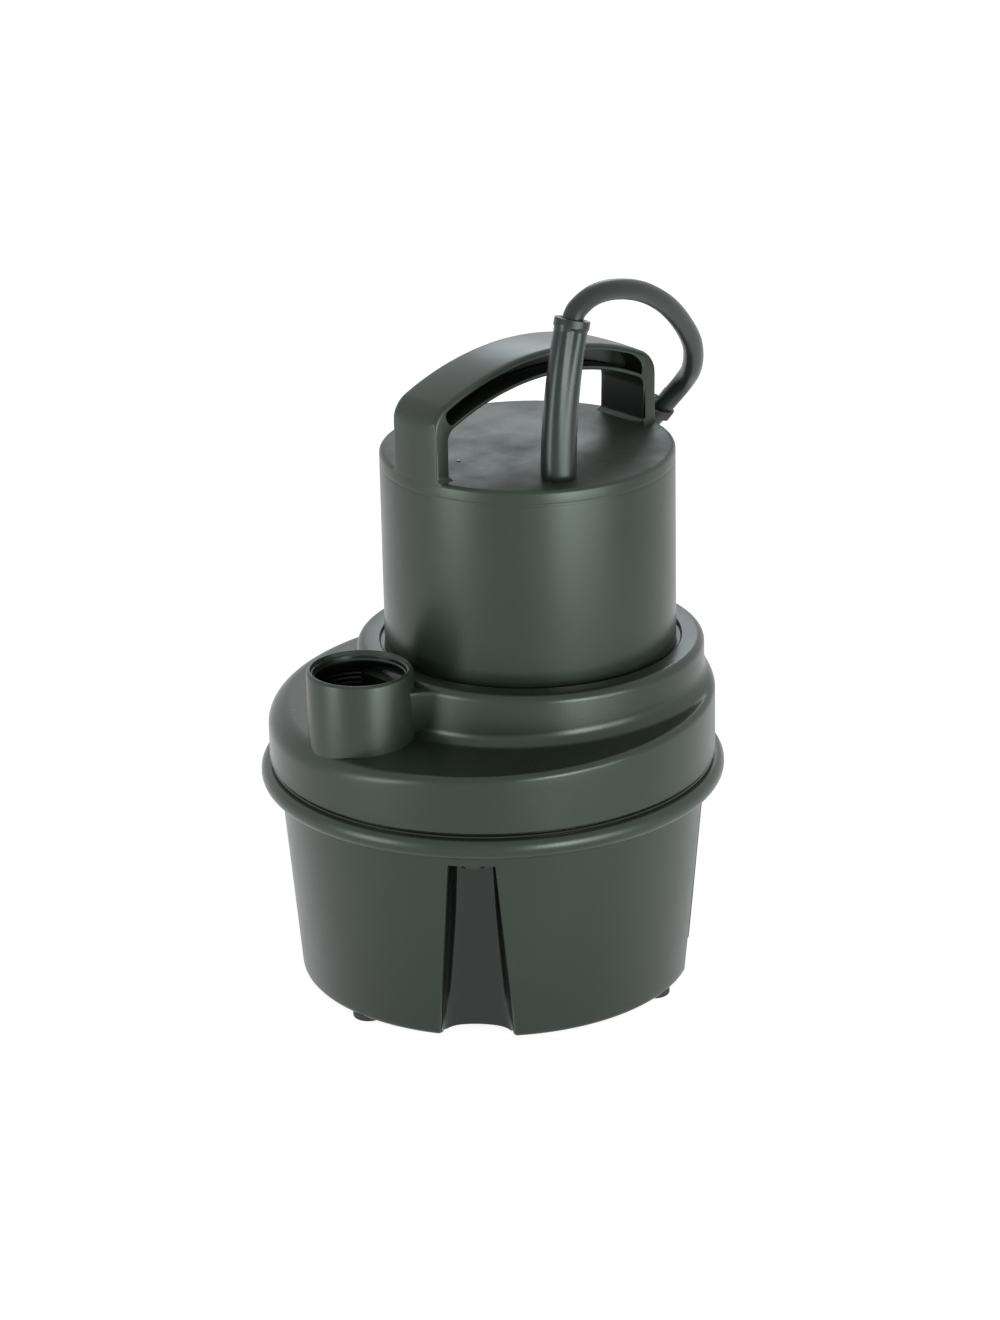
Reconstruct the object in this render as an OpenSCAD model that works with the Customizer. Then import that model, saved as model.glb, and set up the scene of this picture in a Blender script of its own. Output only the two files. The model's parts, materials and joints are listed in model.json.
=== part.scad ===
// Submersible sump pump: eccentric motor on a two-step pump body over a strainer base.
// Units are millimetres, +Z is up, the feet stand on z = 0 and the base is centred on the Z axis.

/* [Overall] */
// outer radius of the bead around the joint of body and base
bead_r = 102.5; // [101:0.5:104]
// offset of the motor axis from the base axis along X
axis_x = 20; // [18:0.5:20.5]
// offset of the motor axis from the base axis along Y
axis_y = -4; // [-5:0.5:-3]

/* [Strainer base] */
// height of the rubber feet
foot_h = 3; // [2.5:0.5:5]
// how much the base narrows from its top to its bottom, on the radius
base_draft = 7.3; // [6.8:0.1:7.8]
// height of the base below the bead
base_h = 93; // [88:1:98]
// wall thickness of the base
base_wall = 3; // [2.5:0.5:3]
// depth of each recess below the bottom edge
recess_d = 10.3; // [9.5:0.1:11]
// width of each recess at the bottom
recess_bottom_w = 36; // [32:1:38]
// width of each recess at the top
recess_top_w = 19; // [17:1:22]
// direction of the first recess about the base axis
recess_dir = 222.7; // [220:0.1:225]

/* [Pump body] */
// radius of the lower step
drum_r = 98.5; // [98:0.25:99]
// wall thickness of the skirt under the lower step
drum_wall = 3.5; // [3:0.1:3.8]
// height of the ledge above the bottom of the bead
drum_h = 34.5; // [33:0.5:37]
// radius of the upper step
tier_r = 76.5; // [75:0.5:77]
// height of the upper step above the ledge
tier_h = 22.5; // [21:0.5:24]
// slope of the top of the lower step
shelf_slope = 2.4; // [2:0.1:3]
// outer radius of the discharge port
port_r = 23; // [22.5:0.25:23.5]
// wall radius of the port's threaded bore
port_bore_r = 19.4; // [19:0.1:19.8]
// depth of the threaded bore
port_bore_len = 20; // [17:1:21]
// height of the port above the ledge
port_h = 29.5; // [28:0.5:32]

/* [Motor housing] */
// outer radius of the motor housing
motor_r = 64.2; // [63.8:0.1:65]
// height of the motor housing from its seat to the cap
motor_h = 89.2; // [88:0.2:94]
// wall thickness of the motor housing
motor_wall = 3; // [2.6:0.1:3]

/* [Handle] */
// width of the handle
handle_w = 28; // [26:1:30]
// height of the crown above the cap
handle_h = 45.6; // [44:0.2:48]
// radius of the arch
handle_arch_r = 135; // [125:1:145]
// thickness of the grip
grip_t = 12; // [11:0.5:13]
// thickness of the legs
leg_t = 8.5; // [8:0.5:9.5]

/* [Motor and seal] */
// radius of the stator core
stator_r = 48; // [47:0.5:49]
// height of the stator core
stator_h = 38; // [36:1:40]
// radius of the shaft
shaft_r = 5; // [4.5:0.25:5]
// radius of the impeller
impeller_r = 40; // [36:1:42]

/* [Cord] */
// diameter of the cord
cord_d = 9; // [8.6:0.1:9.2]
// outer radius of the strain relief sleeve
sleeve_r = 7.15; // [6.9:0.05:7.5]

/* [Hidden] */

big_fn = 96;
mid_fn = 48;
small_fn = 24;
eps = 0.01;
over = 1;
running_gap = 0.05;
shaft_clear = 4;
seat_gap = 0.1;
cord_gap = 0.2;

// levels
base_top = foot_h + base_h;
bead_t = 7;
seat_sink = 1.8;
seat_groove = 2;
ledge_z = base_top + drum_h;
tier_z = ledge_z + tier_h;
seat_z = tier_z - seat_sink;
cap_z = seat_z + motor_h;
cap_t = 4;
cap_in = cap_z - cap_t;
port_z = ledge_z + port_h;

// pump body
skirt_r = drum_r - drum_wall;
fit_gap = 0.4;
base_top_r = skirt_r - fit_gap;
base_bottom_r = base_top_r - base_draft;
port_inset = 2.8;
skirt_top = ledge_z - 12.5;
shelf_dir = 348;
shelf_mid = 0.9;
shelf_fillet = 6;
shelf_over = 0.6;
core_inset = 7;
core_h = 6.5;
port_x = port_r + port_inset - drum_r;
port_y = 1;
neck_w = 42;
neck_end_w = 52;
neck_h = tier_h - 2;
tier_round = 3;
duct_r = 10.5;
duct_z = skirt_top + duct_r + 3.5;
mouth_r = 20.6;
mouth_h = 1.2;
port_throat_r = 17;
volute_r = 50;
volute_shift = 4;
volute_h = 24;
volute_top = skirt_top + volute_h;
hub_hole_r = 20;
body_screw_at = 30;
body_screws_n = 3;
body_screw_turn = 30;
ring_groove_r = 57.5;
ring_r = 1.2;
ring_room = 1.6;
body_screw_z = volute_top + 3;
body_screw_len = 14;
body_head_h = 2.6;

// base fixings
fix_boss_r = 5.5;
recess_top = base_h - 12;
recess_back = base_bottom_r - recess_d;
fix_at = recess_back + 7.5;
base_screw_len = 22;
pad_t = 6;
fix_z = foot_h + recess_top + pad_t;
screw_r = 1.95;
pilot_r = 2;
screw_gap = 0.3;
sink_r = 4.3;
sink_gap = 0.3;
hole_r = 2.75;
head_r = 4.5;
head_h = 3;
feet_dirs = [184, 290, 65];
foot_r = 7;
foot_inset = 0.8;
feet_at = base_bottom_r - foot_r - foot_inset;
stem_r = 2.9;
stem_h = 6;
foot_boss_h = 8;
screen_r = recess_back - base_wall - 0.5;
screen_t = 2;
screen_z = foot_h + foot_boss_h;
arch_r = 40;
arch_h = 4;

// volute plate
plate_r = 61.5;
plate_room = 0.8;
plate_t = 3.5;
plate_screw_at = 57.5;
plate_screw_len = 12;
eye_r = 14;
eye_len = 10;

// bearing plate
bp_r = motor_r - motor_wall - 0.3;
bp_t = 4.8;
bp_boss_r = 19;
bp_top = seat_z + 14.8;
bearing_r = 15;
bearing_h = 9;
bp_hub_bottom = volute_top + 1;
seal_r = 13;
seal_h = 5;
bp_screw_at = 52;
bp_sink = 2.5;
bp_screw_len = 12;

// motor inside
stator_z = seat_z + 26.8;
stator_top = stator_z + stator_h;
shoulder = 1.8;
bore_r = 25.4;
rotor_r = 24.6;
wind_in = 28;
wind_out = 44;
wind_h = 12;
wind_round = 4;
ub_z = cap_in - 14.4;
shaft_top = ub_z + bearing_h + 1;
imp_z = skirt_top + 2.5;
vane_h = 9.5;
shroud_t = 2.5;
hub_top = imp_z + vane_h + shroud_t + 0.5;
shaft_low = imp_z - 4;
head_z = bp_hub_bottom - running_gap;
seat_open = 1;
seal_head_r = 10.5;
seal_head_h = 3.2;
spring_wire = 0.8;
spring_r = 8;
spring_turns = 3;

// sleeve and cord
gland_x = 0;
gland_y = -47;
sleeve_bend = 257;
sleeve_angle = 15.2;
cord_r = cord_d / 2;
gland_r = 7;
tie_at = [98, -5, cap_z - 1];
tie_dir = [-11, 15, -26];
tie_turn = -59;

module at_axis() { translate([axis_x, axis_y, 0]) children(); }
module around(n, r, a0 = 0) {
    for (i = [0 : n - 1]) rotate(a0 + i * 360 / n) translate([r, 0, 0]) children();
}
module at_recess(r) { around(4, r, recess_dir) children(); }

// disc with a rounded upper edge
module round_disc(r, h, f) {
    rotate_extrude($fn = big_fn) {
        square([r - f, h]);
        square([r, h - f]);
        translate([r - f, h - f]) intersection() {
            circle(f, $fn = mid_fn);
            square(f);
        }
    }
}
module tube(ro, ri, h, fn = mid_fn) {
    difference() {
        cylinder(r = ro, h = h, $fn = fn);
        translate([0, 0, -over]) cylinder(r = ri, h = h + 2 * over, $fn = fn);
    }
}
// pan head screw pointing up, head below z = 0, with a cross cut in the head
cross_w = 1;
module screw(len, r, hr, hh) {
    difference() {
        union() {
            translate([0, 0, -hh / 2]) cylinder(r = r, h = len + hh / 2, $fn = small_fn);
            translate([0, 0, -hh]) cylinder(r = hr, h = hh, $fn = small_fn);
        }
        for (a = [0, 90]) rotate(a) translate([-hr * 0.6, -cross_w / 2, -hh - eps])
            cube([hr * 1.2, cross_w, cross_w]);
    }
}

// ---- sweeps for the cord ----
function unit(v) = v / norm(v);
function catmull(p, i, t) = 0.5 * (2 * p[i] + (p[i + 1] - p[i - 1]) * t
    + (2 * p[i - 1] - 5 * p[i] + 4 * p[i + 1] - p[i + 2]) * t * t
    + (3 * p[i] - p[i - 1] - 3 * p[i + 1] + p[i + 2]) * t * t * t);
function spline(p, n) = [for (i = [1 : len(p) - 3]) for (k = [0 : n - 1]) catmull(p, i, k / n),
    p[len(p) - 2]];
function tangents(p) = [for (i = [0 : len(p) - 1])
    unit(p[min(i + 1, len(p) - 1)] - p[max(i - 1, 0)])];
function carried(n, t) = unit(n - (n * t) * t);
function normals(t, n0) = [for (i = 0, n = carried(n0, t[0]); i < len(t);
    i = i + 1, n = carried(n, t[min(i, len(t) - 1)])) n];
function run(p, i = 1) = i >= len(p) ? 0 : norm(p[i] - p[i - 1]) + run(p, i + 1);

module sweep(p, t, r, sides, n0) {
    n = normals(t, n0);
    m = len(p);
    ring = [for (i = [0 : m - 1]) for (k = [0 : sides - 1])
        let (a = 360 * k / sides, b = cross(t[i], n[i])) p[i] + r * (cos(a) * n[i] + sin(a) * b)];
    walls = [for (i = [0 : m - 2]) for (k = [0 : sides - 1])
        let (a = i * sides + k, b = i * sides + (k + 1) % sides) [a, a + sides, b + sides, b]];
    first = [[for (k = [0 : sides - 1]) k]];
    last = [[for (k = [0 : sides - 1]) m * sides - 1 - k]];
    polyhedron(points = ring, faces = concat(walls, first, last), convexity = 10);
}

// cord route, from inside the cap up the sleeve, around the loop and down to the coil
sleeve_base = [gland_x, gland_y, cap_z];
function sleeve_point(a) = sleeve_base + [sleeve_bend * (1 - cos(a)), 0, sleeve_bend * sin(a)];
coil_mid = [111, 132];
coil_z = 6;
coil_out = 71.5;
coil_pitch = 9.9;
coil_rise = 9.7;
coil_turns = 3.5;
coil_start_dir = 225;
coil_tail = 33;
coil_start = [coil_mid[0] + coil_out * cos(coil_start_dir),
              coil_mid[1] + coil_out * sin(coil_start_dir), coil_z];
coil_in_dir = [-sin(-coil_start_dir), -cos(-coil_start_dir), 0];
lead_in = coil_start - coil_in_dir * cord_d;
loop_pts = [[14.5, -47.1, cap_z + 73], [23.5, -47.2, cap_z + 75.8], [35.5, -46.8, cap_z + 75],
            [50, -45.6, cap_z + 70.6], [65, -43.2, cap_z + 62], [79, -39, cap_z + 50],
            [91, -33, cap_z + 36.5], [99, -24.5, cap_z + 23], [103, -14.5, cap_z + 12.5], tie_at];
drop_pts = [[94, 3, cap_z - 13], [94, 13, cap_z - 34], [96, 23, cap_z - 56],
            [98, 32, cap_z - 82], [99.5, 39, cap_z - 110], [100, 43, cap_z - 142],
            [100, 44, 70], [99.4, 44.6, 42], [95.8, 48.2, 24], [86.4, 57.4, 11]];
cord_route = concat([sleeve_base - [0, 0, 20], sleeve_base - [0, 0, 8.4]],
    [for (a = [0 : sleeve_angle / 4 : sleeve_angle]) sleeve_point(a)],
    loop_pts, drop_pts, [lead_in, coil_start]);
cord_pts = spline(cord_route, 3);
cord_runs = tangents(cord_pts);
cord_dirs = [for (i = [0 : len(cord_pts) - 1]) i < len(cord_pts) - 1 ? cord_runs[i] : coil_in_dir];

// coil: in along the floor, up at the inside, out again on top
function ease(x) = x <= 0 ? 0 : x >= 1 ? 1 : x * x * (3 - 2 * x);
coil_loops = 2 * coil_turns;
function coil_r(u) = coil_out - coil_pitch * (u <= coil_turns ? u : coil_loops - u);
function coil_up(u) = coil_rise * ease((u - coil_turns + 0.2) / 0.4);
function coil_at(u) = [coil_mid[0] + coil_r(u) * cos(coil_start_dir - 360 * u),
                       coil_mid[1] + coil_r(u) * sin(coil_start_dir - 360 * u),
                       coil_z + coil_up(u)];
coil_rings = 24;
coil_body = [for (k = [0 : coil_loops * coil_rings]) coil_at(k / coil_rings)];
coil_last = coil_body[len(coil_body) - 1];
coil_out_dir = unit(coil_last - coil_body[len(coil_body) - 2]);
coil_pts = concat([lead_in], coil_body, [coil_last + coil_out_dir * cord_d],
    [coil_last + coil_out_dir * coil_tail]);
coil_end = coil_pts[len(coil_pts) - 1];
coil_gap = min([for (i = [0 : 2 : len(coil_pts) - 1]) for (j = [i + 12 : len(coil_pts) - 1])
    norm(coil_pts[i] - coil_pts[j])]) - cord_d;
echo(coil_self_gap = coil_gap, coil_length = run(coil_pts), cord_length = run(cord_pts));

motor_housing();
cord_seal();
cord_sleeve();
upper_bearing();
stator_core();
stator_winding();
thermal_protector();
lead_wires();
rotor_core();
motor_shaft();
lower_bearing();
bearing_plate();
bearing_plate_screws();
housing_o_ring();
seal_seat();
seal_head();
seal_spring();
impeller();
impeller_nut();
pump_body();
body_screws();
volute_plate();
volute_plate_screws();
strainer_base();
base_screws();
intake_screen();
rubber_feet();
cable_tie();
power_cord();
cord_coil();
coil_tie();
plug_body();
plug_blades();

// ---- motor housing ----
function arc(cx, cz, r, a0, a1, n) = [for (i = [0 : n]) let (a = a0 + (a1 - a0) * i / n)
    [cx + r * cos(a), cz + r * sin(a)]];
// outline of the arch down to z = 0 at the cap, crown at handle_h
module arch_outline(r, half, corner, foot) {
    cz = handle_h - handle_arch_r;
    kx = half - corner;
    kz = cz + sqrt((r - corner) * (r - corner) - kx * kx);
    tilt = atan2(kz - cz, kx);
    polygon(concat([[half, foot]], arc(kx, kz, corner, 0, tilt, 6), arc(0, cz, r, tilt, 180 - tilt, 20),
        arc(-kx, kz, corner, 180 - tilt, 180, 6), [[-half, foot]]));
}
handle_round = 13;
handle_round_in = 6;
module handle_profile() {
    difference() {
        arch_outline(handle_arch_r, motor_r, handle_round, -cap_t / 2);
        arch_outline(handle_arch_r - grip_t, motor_r - leg_t, handle_round_in, -cap_t);
    }
}
flange_t = 3;
slot_depth = 11;
slot_half = 57;
module grip_slot() {
    cz = handle_h - handle_arch_r;
    intersection() {
        difference() {
            translate([0, cz]) circle(handle_arch_r - flange_t, $fn = 2 * big_fn);
            translate([0, cz]) circle(handle_arch_r - grip_t + flange_t, $fn = 2 * big_fn);
        }
        translate([-slot_half, 0]) square([2 * slot_half, handle_h]);
    }
}
module handle() {
    intersection() {
        translate([axis_x, axis_y + handle_w / 2, cap_z]) rotate([90, 0, 0]) difference() {
            linear_extrude(handle_w) handle_profile();
            translate([0, 0, -over]) linear_extrude(slot_depth + over) grip_slot();
            translate([0, 0, handle_w - slot_depth]) linear_extrude(slot_depth + over) grip_slot();
        }
        translate([axis_x, axis_y, cap_in]) cylinder(r = motor_r, h = handle_h + 2 * cap_t, $fn = big_fn);
    }
}
// the eye for the cord's tie, on the outer face of the leg
eye_bar_r = 1.6;
eye_half = 7;
eye_web_t = 3;
eye_web_len = 9;
tie_reach = 6.6;
module at_tie() {
    translate(tie_at) rotate([0, acos(unit(tie_dir)[2]), atan2(tie_dir[1], tie_dir[0])])
        rotate([0, 0, tie_turn]) children();
}
module tie_eye() {
    bar_x = -tie_reach - cord_r + eye_bar_r;
    at_tie() {
        translate([bar_x, 0, -eye_half]) cylinder(r = eye_bar_r, h = 2 * eye_half, $fn = small_fn);
        for (z = [-eye_half, eye_half - eye_web_t])
            translate([bar_x - eye_web_len, -eye_bar_r, z])
                cube([eye_web_len, 2 * eye_bar_r, eye_web_t]);
    }
}
housing_rib = 3;
rib_over = 6;
boss_r = 5;
boss_h = 12;
boss_rib = 4;
module motor_housing() {
    boss_z = seat_z + bp_t + seat_gap;
    color("#454b47") difference() {
        union() {
            difference() {
                at_axis() translate([0, 0, seat_z]) round_disc(motor_r, motor_h, 2);
                at_axis() translate([0, 0, seat_z - over])
                    cylinder(r = motor_r - motor_wall, h = motor_h - cap_t + over, $fn = big_fn);
            }
            handle();
            tie_eye();
            at_axis() translate([0, 0, ub_z]) cylinder(r = bp_boss_r, h = cap_z - ub_z - over, $fn = mid_fn);
            at_axis() around(8, stator_r + running_gap, 22.5)
                translate([0, -housing_rib / 2, stator_z - rib_over])
                    cube([motor_r - stator_r - motor_wall / 2, housing_rib, stator_h + 2 * rib_over]);
            at_axis() around(4, bp_screw_at, 45) translate([0, 0, boss_z]) {
                cylinder(r = boss_r, h = boss_h, $fn = small_fn);
                translate([0, -boss_rib / 2, 0])
                    cube([motor_r - bp_screw_at - motor_wall / 2, boss_rib, boss_h]);
            }
        }
        at_axis() translate([0, 0, ub_z - over])
            cylinder(r = bearing_r + running_gap, h = bearing_h + over, $fn = mid_fn);
        at_axis() translate([0, 0, ub_z])
            cylinder(r = shaft_r + shaft_clear, h = bearing_h + shaft_clear, $fn = mid_fn);
        at_axis() around(4, bp_screw_at, 45) translate([0, 0, boss_z - over])
            cylinder(r = pilot_r, h = boss_h - 1, $fn = small_fn);
        translate([gland_x, gland_y, cap_in - over])
            cylinder(r = gland_r + running_gap, h = cap_t + 2 * over, $fn = mid_fn);
    }
}

// ---- cord entry ----
seal_flange_r = gland_r + 2;
seal_flange_h = 4;
module cord_seal() {
    long = seal_flange_h + cap_t;
    color("#1c1e1d") translate([gland_x, gland_y, cap_in - seal_flange_h]) difference() {
        union() {
            cylinder(r = seal_flange_r, h = seal_flange_h, $fn = mid_fn);
            cylinder(r = gland_r, h = long, $fn = mid_fn);
        }
        translate([0, 0, -over]) cylinder(r = cord_r + cord_gap, h = long + 2 * over, $fn = mid_fn);
    }
}
collar_t = 0.8;
collar_h = 2.2;
module cord_sleeve() {
    color("#454b47") difference() {
        union() {
            translate(sleeve_base) cylinder(r = sleeve_r + collar_t, h = collar_h, $fn = mid_fn);
            translate(sleeve_base + [sleeve_bend, 0, 0]) rotate([90, 180, 0])
                rotate_extrude(angle = -sleeve_angle, $fn = 4 * big_fn)
                    translate([sleeve_bend, 0]) circle(sleeve_r, $fn = mid_fn);
        }
        translate(sleeve_base + [sleeve_bend, 0, 0]) rotate([90, 180, 0]) rotate([0, 0, 1])
            rotate_extrude(angle = -sleeve_angle - 2, $fn = 4 * big_fn)
                translate([sleeve_bend, 0]) circle(cord_r + cord_gap, $fn = mid_fn);
    }
}

// ---- motor ----
race_t = 2.6;
module bearing() {
    shield_in = 1;
    color("#b8bcc0") rotate_extrude($fn = mid_fn) {
        translate([shaft_r + running_gap, 0]) square([race_t, bearing_h]);
        translate([bearing_r - race_t, 0]) square([race_t, bearing_h]);
        translate([shaft_r + race_t - shield_in, shield_in])
            square([bearing_r - shaft_r - 2 * race_t + 2 * shield_in, bearing_h - 2 * shield_in]);
    }
}
module upper_bearing() { at_axis() translate([0, 0, ub_z]) bearing(); }
module lower_bearing() { at_axis() translate([0, 0, bp_top - bearing_h]) bearing(); }
slots = 18;
slot_out = 40;
slot_w = 5.2;
slot_mouth = 2.4;
tooth_tip = 3;
slot_liner = 0.4;
module stator_core() {
    long = stator_h + 2 * over;
    color("#8a8f94") at_axis() translate([0, 0, stator_z]) difference() {
        tube(stator_r, bore_r, stator_h, big_fn);
        around(slots, bore_r - over) translate([0, -slot_mouth / 2, -over])
            cube([tooth_tip + 2 * over, slot_mouth, long]);
        around(slots, bore_r + tooth_tip) translate([0, -slot_w / 2, -over])
            cube([slot_out - bore_r - tooth_tip, slot_w, long]);
    }
}
module wind_ring(h) {
    rotate_extrude($fn = mid_fn) {
        translate([wind_in, 0]) square([wind_out - wind_in, h - wind_round]);
        translate([wind_in + wind_round, 0]) square([wind_out - wind_in - 2 * wind_round, h]);
        for (x = [wind_in + wind_round, wind_out - wind_round])
            translate([x, h - wind_round]) circle(wind_round, $fn = small_fn);
    }
}
module stator_winding() {
    color("#b06a3c") at_axis() {
        translate([0, 0, stator_top]) wind_ring(wind_h);
        translate([0, 0, stator_z]) mirror([0, 0, 1]) wind_ring(wind_h);
        around(slots, bore_r + tooth_tip + 1) translate([0, -slot_w / 2 + slot_liner, stator_z - eps])
            cube([slot_out - bore_r - tooth_tip - 2, slot_w - 2 * slot_liner, stator_h + 2 * eps]);
    }
}
module thermal_protector() {
    size = [9, 18, 5];
    color("#2a2c30") at_axis() rotate(60) translate([wind_in + 2, -size[1] / 2, stator_top + wind_h])
        cube(size);
}
module lead_wires() {
    wire_r = 1.1;
    pitch = 2.9;
    toward = [axis_x - gland_x, axis_y - gland_y];
    low = stator_top + wind_h;
    color("#c8c4b8") translate([gland_x, gland_y, low]) rotate(atan2(toward[1], toward[0]))
        for (i = [-1 : 1]) translate([cord_r + wire_r + cord_gap, pitch * i, 0])
            cylinder(r = wire_r, h = cap_in - seal_flange_h - low, $fn = small_fn);
}
ring_h = 6;
ring_in = 15;
module rotor_core() {
    color("#8a8f94") at_axis() translate([0, 0, stator_z]) difference() {
        union() {
            cylinder(r = rotor_r, h = stator_h, $fn = big_fn);
            translate([0, 0, -ring_h])
                cylinder(r = rotor_r - 1.6, h = stator_h + 2 * ring_h, $fn = mid_fn);
        }
        translate([0, 0, -2 * ring_h])
            cylinder(r = shaft_r + running_gap, h = stator_h + 4 * ring_h, $fn = mid_fn);
        for (z = [-ring_h - over, stator_h + over])
            translate([0, 0, z]) cylinder(r = ring_in, h = ring_h, $fn = mid_fn);
    }
}
module motor_shaft() {
    color("#c4c7ca") at_axis() {
        translate([0, 0, shaft_low]) cylinder(r = shaft_r, h = shaft_top - shaft_low, $fn = mid_fn);
        translate([0, 0, bp_top])
            cylinder(r = shaft_r + shoulder, h = stator_z - over - bp_top, $fn = mid_fn);
        translate([0, 0, stator_top + over])
            cylinder(r = shaft_r + shoulder, h = ub_z - stator_top - over, $fn = mid_fn);
    }
}

// ---- bearing plate and seal ----
module bearing_plate() {
    color("#9aa0a3") at_axis() difference() {
        union() {
            translate([0, 0, seat_z]) cylinder(r = bp_r, h = bp_t, $fn = big_fn);
            translate([0, 0, seat_z]) cylinder(r = bp_boss_r, h = bp_top - seat_z, $fn = mid_fn);
            translate([0, 0, bp_hub_bottom])
                cylinder(r = hub_hole_r - seat_gap, h = seat_z - bp_hub_bottom + eps, $fn = mid_fn);
            around(body_screws_n, body_screw_at, body_screw_turn) translate([0, 0, seat_z])
                cylinder(r = boss_r, h = boss_h, $fn = small_fn);
        }
        translate([0, 0, bp_hub_bottom - over])
            cylinder(r = shaft_r + shoulder + 0.2, h = bp_top - bp_hub_bottom + 2 * over, $fn = mid_fn);
        translate([0, 0, bp_top - bearing_h])
            cylinder(r = bearing_r + running_gap, h = bearing_h + over, $fn = mid_fn);
        translate([0, 0, bp_hub_bottom - over])
            cylinder(r = seal_r + running_gap, h = seal_h + over, $fn = mid_fn);
        around(body_screws_n, body_screw_at, body_screw_turn) translate([0, 0, seat_z - over])
            cylinder(r = pilot_r, h = boss_h - 1, $fn = small_fn);
        around(4, bp_screw_at, 45) translate([0, 0, seat_z - over])
            cylinder(r = screw_r + screw_gap, h = bp_t + 2 * over, $fn = small_fn);
        around(4, bp_screw_at, 45) translate([0, 0, seat_z - over])
            cylinder(r = sink_r, h = bp_sink + over, $fn = small_fn);
    }
}
module bearing_plate_screws() {
    color("#c4c7ca") at_axis() around(4, bp_screw_at, 45) translate([0, 0, seat_z + bp_sink])
        screw(bp_screw_len, screw_r, sink_r - sink_gap, bp_sink - 0.1);
}
module housing_o_ring() {
    color("#161817") at_axis() translate([0, 0, seat_z - ring_r])
        rotate_extrude($fn = big_fn) translate([ring_groove_r, 0]) circle(ring_r, $fn = small_fn);
}
module seal_seat() {
    color("#e6e2d8") at_axis() translate([0, 0, bp_hub_bottom])
        tube(seal_r, shaft_r + seat_open, seal_h);
}
module seal_head() {
    color("#232527") at_axis() translate([0, 0, head_z - seal_head_h])
        tube(seal_head_r, shaft_r + running_gap, seal_head_h);
}
module seal_spring() {
    low = hub_top + spring_wire;
    high = head_z - seal_head_h - spring_wire;
    rings = 16;
    n = rings * spring_turns;
    mid = [for (i = [0 : n]) let (a = 360 * i / rings) [axis_x + spring_r * cos(a),
        axis_y + spring_r * sin(a), low + (high - low) * i / n]];
    color("#b8bcc0") sweep(mid, tangents(mid), spring_wire, 6, [0, 0, 1]);
}
module impeller() {
    hub_r = 11;
    vane_r = 22;
    vane_at = [22, 6];
    vanes = 6;
    vane_t = 2.6;
    color("#6b5a3a") at_axis() difference() {
        union() {
            translate([0, 0, imp_z + vane_h]) cylinder(r = impeller_r, h = shroud_t, $fn = big_fn);
            translate([0, 0, imp_z + 1]) cylinder(r = hub_r, h = hub_top - imp_z - 1, $fn = mid_fn);
            translate([0, 0, imp_z]) linear_extrude(vane_h + eps) intersection() {
                difference() {
                    circle(impeller_r, $fn = big_fn);
                    circle(hub_r - 1, $fn = mid_fn);
                }
                for (i = [0 : vanes - 1]) rotate(360 * i / vanes) translate(vane_at) intersection() {
                    difference() {
                        circle(vane_r, $fn = mid_fn);
                        circle(vane_r - vane_t, $fn = mid_fn);
                    }
                    translate([-vane_r - over, -2]) square([2 * vane_r + 2 * over, vane_r + 2 * over]);
                }
            }
        }
        translate([0, 0, imp_z - over])
            cylinder(r = shaft_r + running_gap, h = hub_top - imp_z + 2 * over, $fn = mid_fn);
    }
}
module impeller_nut() {
    nut_r = 8.6;
    nut_h = 4.2;
    color("#c4c7ca") at_axis() translate([0, 0, imp_z + 1 - nut_h]) difference() {
        cylinder(r = nut_r, h = nut_h, $fn = 6);
        translate([0, 0, -over]) cylinder(r = shaft_r + running_gap, h = nut_h + 2 * over, $fn = mid_fn);
    }
}

// ---- pump body ----
module sloped_top() {
    deep = 60;
    translate([0, 0, ledge_z + shelf_mid]) rotate([0, -shelf_slope, shelf_dir])
        translate([0, 0, -deep]) round_disc(drum_r + shelf_over, deep, shelf_fillet);
}
module port_at(z) { translate([port_x, port_y, z]) children(); }
module neck(w0, w1, x0, x1, z0, z1) {
    translate([0, port_y, z0]) linear_extrude(z1 - z0)
        polygon([[x0, -w0 / 2], [x1, -w1 / 2], [x1, w1 / 2], [x0, w0 / 2]]);
}
module body_shell() {
    rotate_extrude($fn = big_fn) {
        translate([skirt_r - over, base_top]) square([bead_r - bead_t / 2 - skirt_r + over, bead_t]);
        translate([bead_r - bead_t / 2, base_top + bead_t / 2]) circle(bead_t / 2, $fn = small_fn);
    }
    intersection() {
        translate([0, 0, base_top]) cylinder(r = drum_r, h = 2 * drum_h, $fn = big_fn);
        sloped_top();
    }
    at_axis() translate([0, 0, skirt_top]) round_disc(tier_r, tier_z - skirt_top, tier_round);
    port_at(skirt_top) cylinder(r = port_r, h = port_z - skirt_top, $fn = mid_fn * 2);
    neck(neck_w, neck_end_w, port_x, axis_x - tier_r + 8, skirt_top, ledge_z + neck_h);
}
module body_hollow() {
    core_gap = 2 * duct_r + 8;
    core_r = skirt_r - core_inset;
    translate([0, 0, base_top - over])
        cylinder(r = skirt_r, h = skirt_top - base_top + over, $fn = big_fn);
    difference() {
        translate([0, 0, skirt_top - eps]) cylinder(r = core_r, h = core_h, $fn = big_fn);
        at_axis() translate([0, 0, skirt_top - over])
            cylinder(r = plate_r + over, h = core_h + 2 * over, $fn = big_fn);
        neck(core_gap, core_gap, -drum_r, 0, skirt_top - over, skirt_top + core_h + over);
        port_at(skirt_top - over)
            cylinder(r = port_bore_r + 2, h = core_h + 2 * over, $fn = mid_fn);
    }
}
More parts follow.
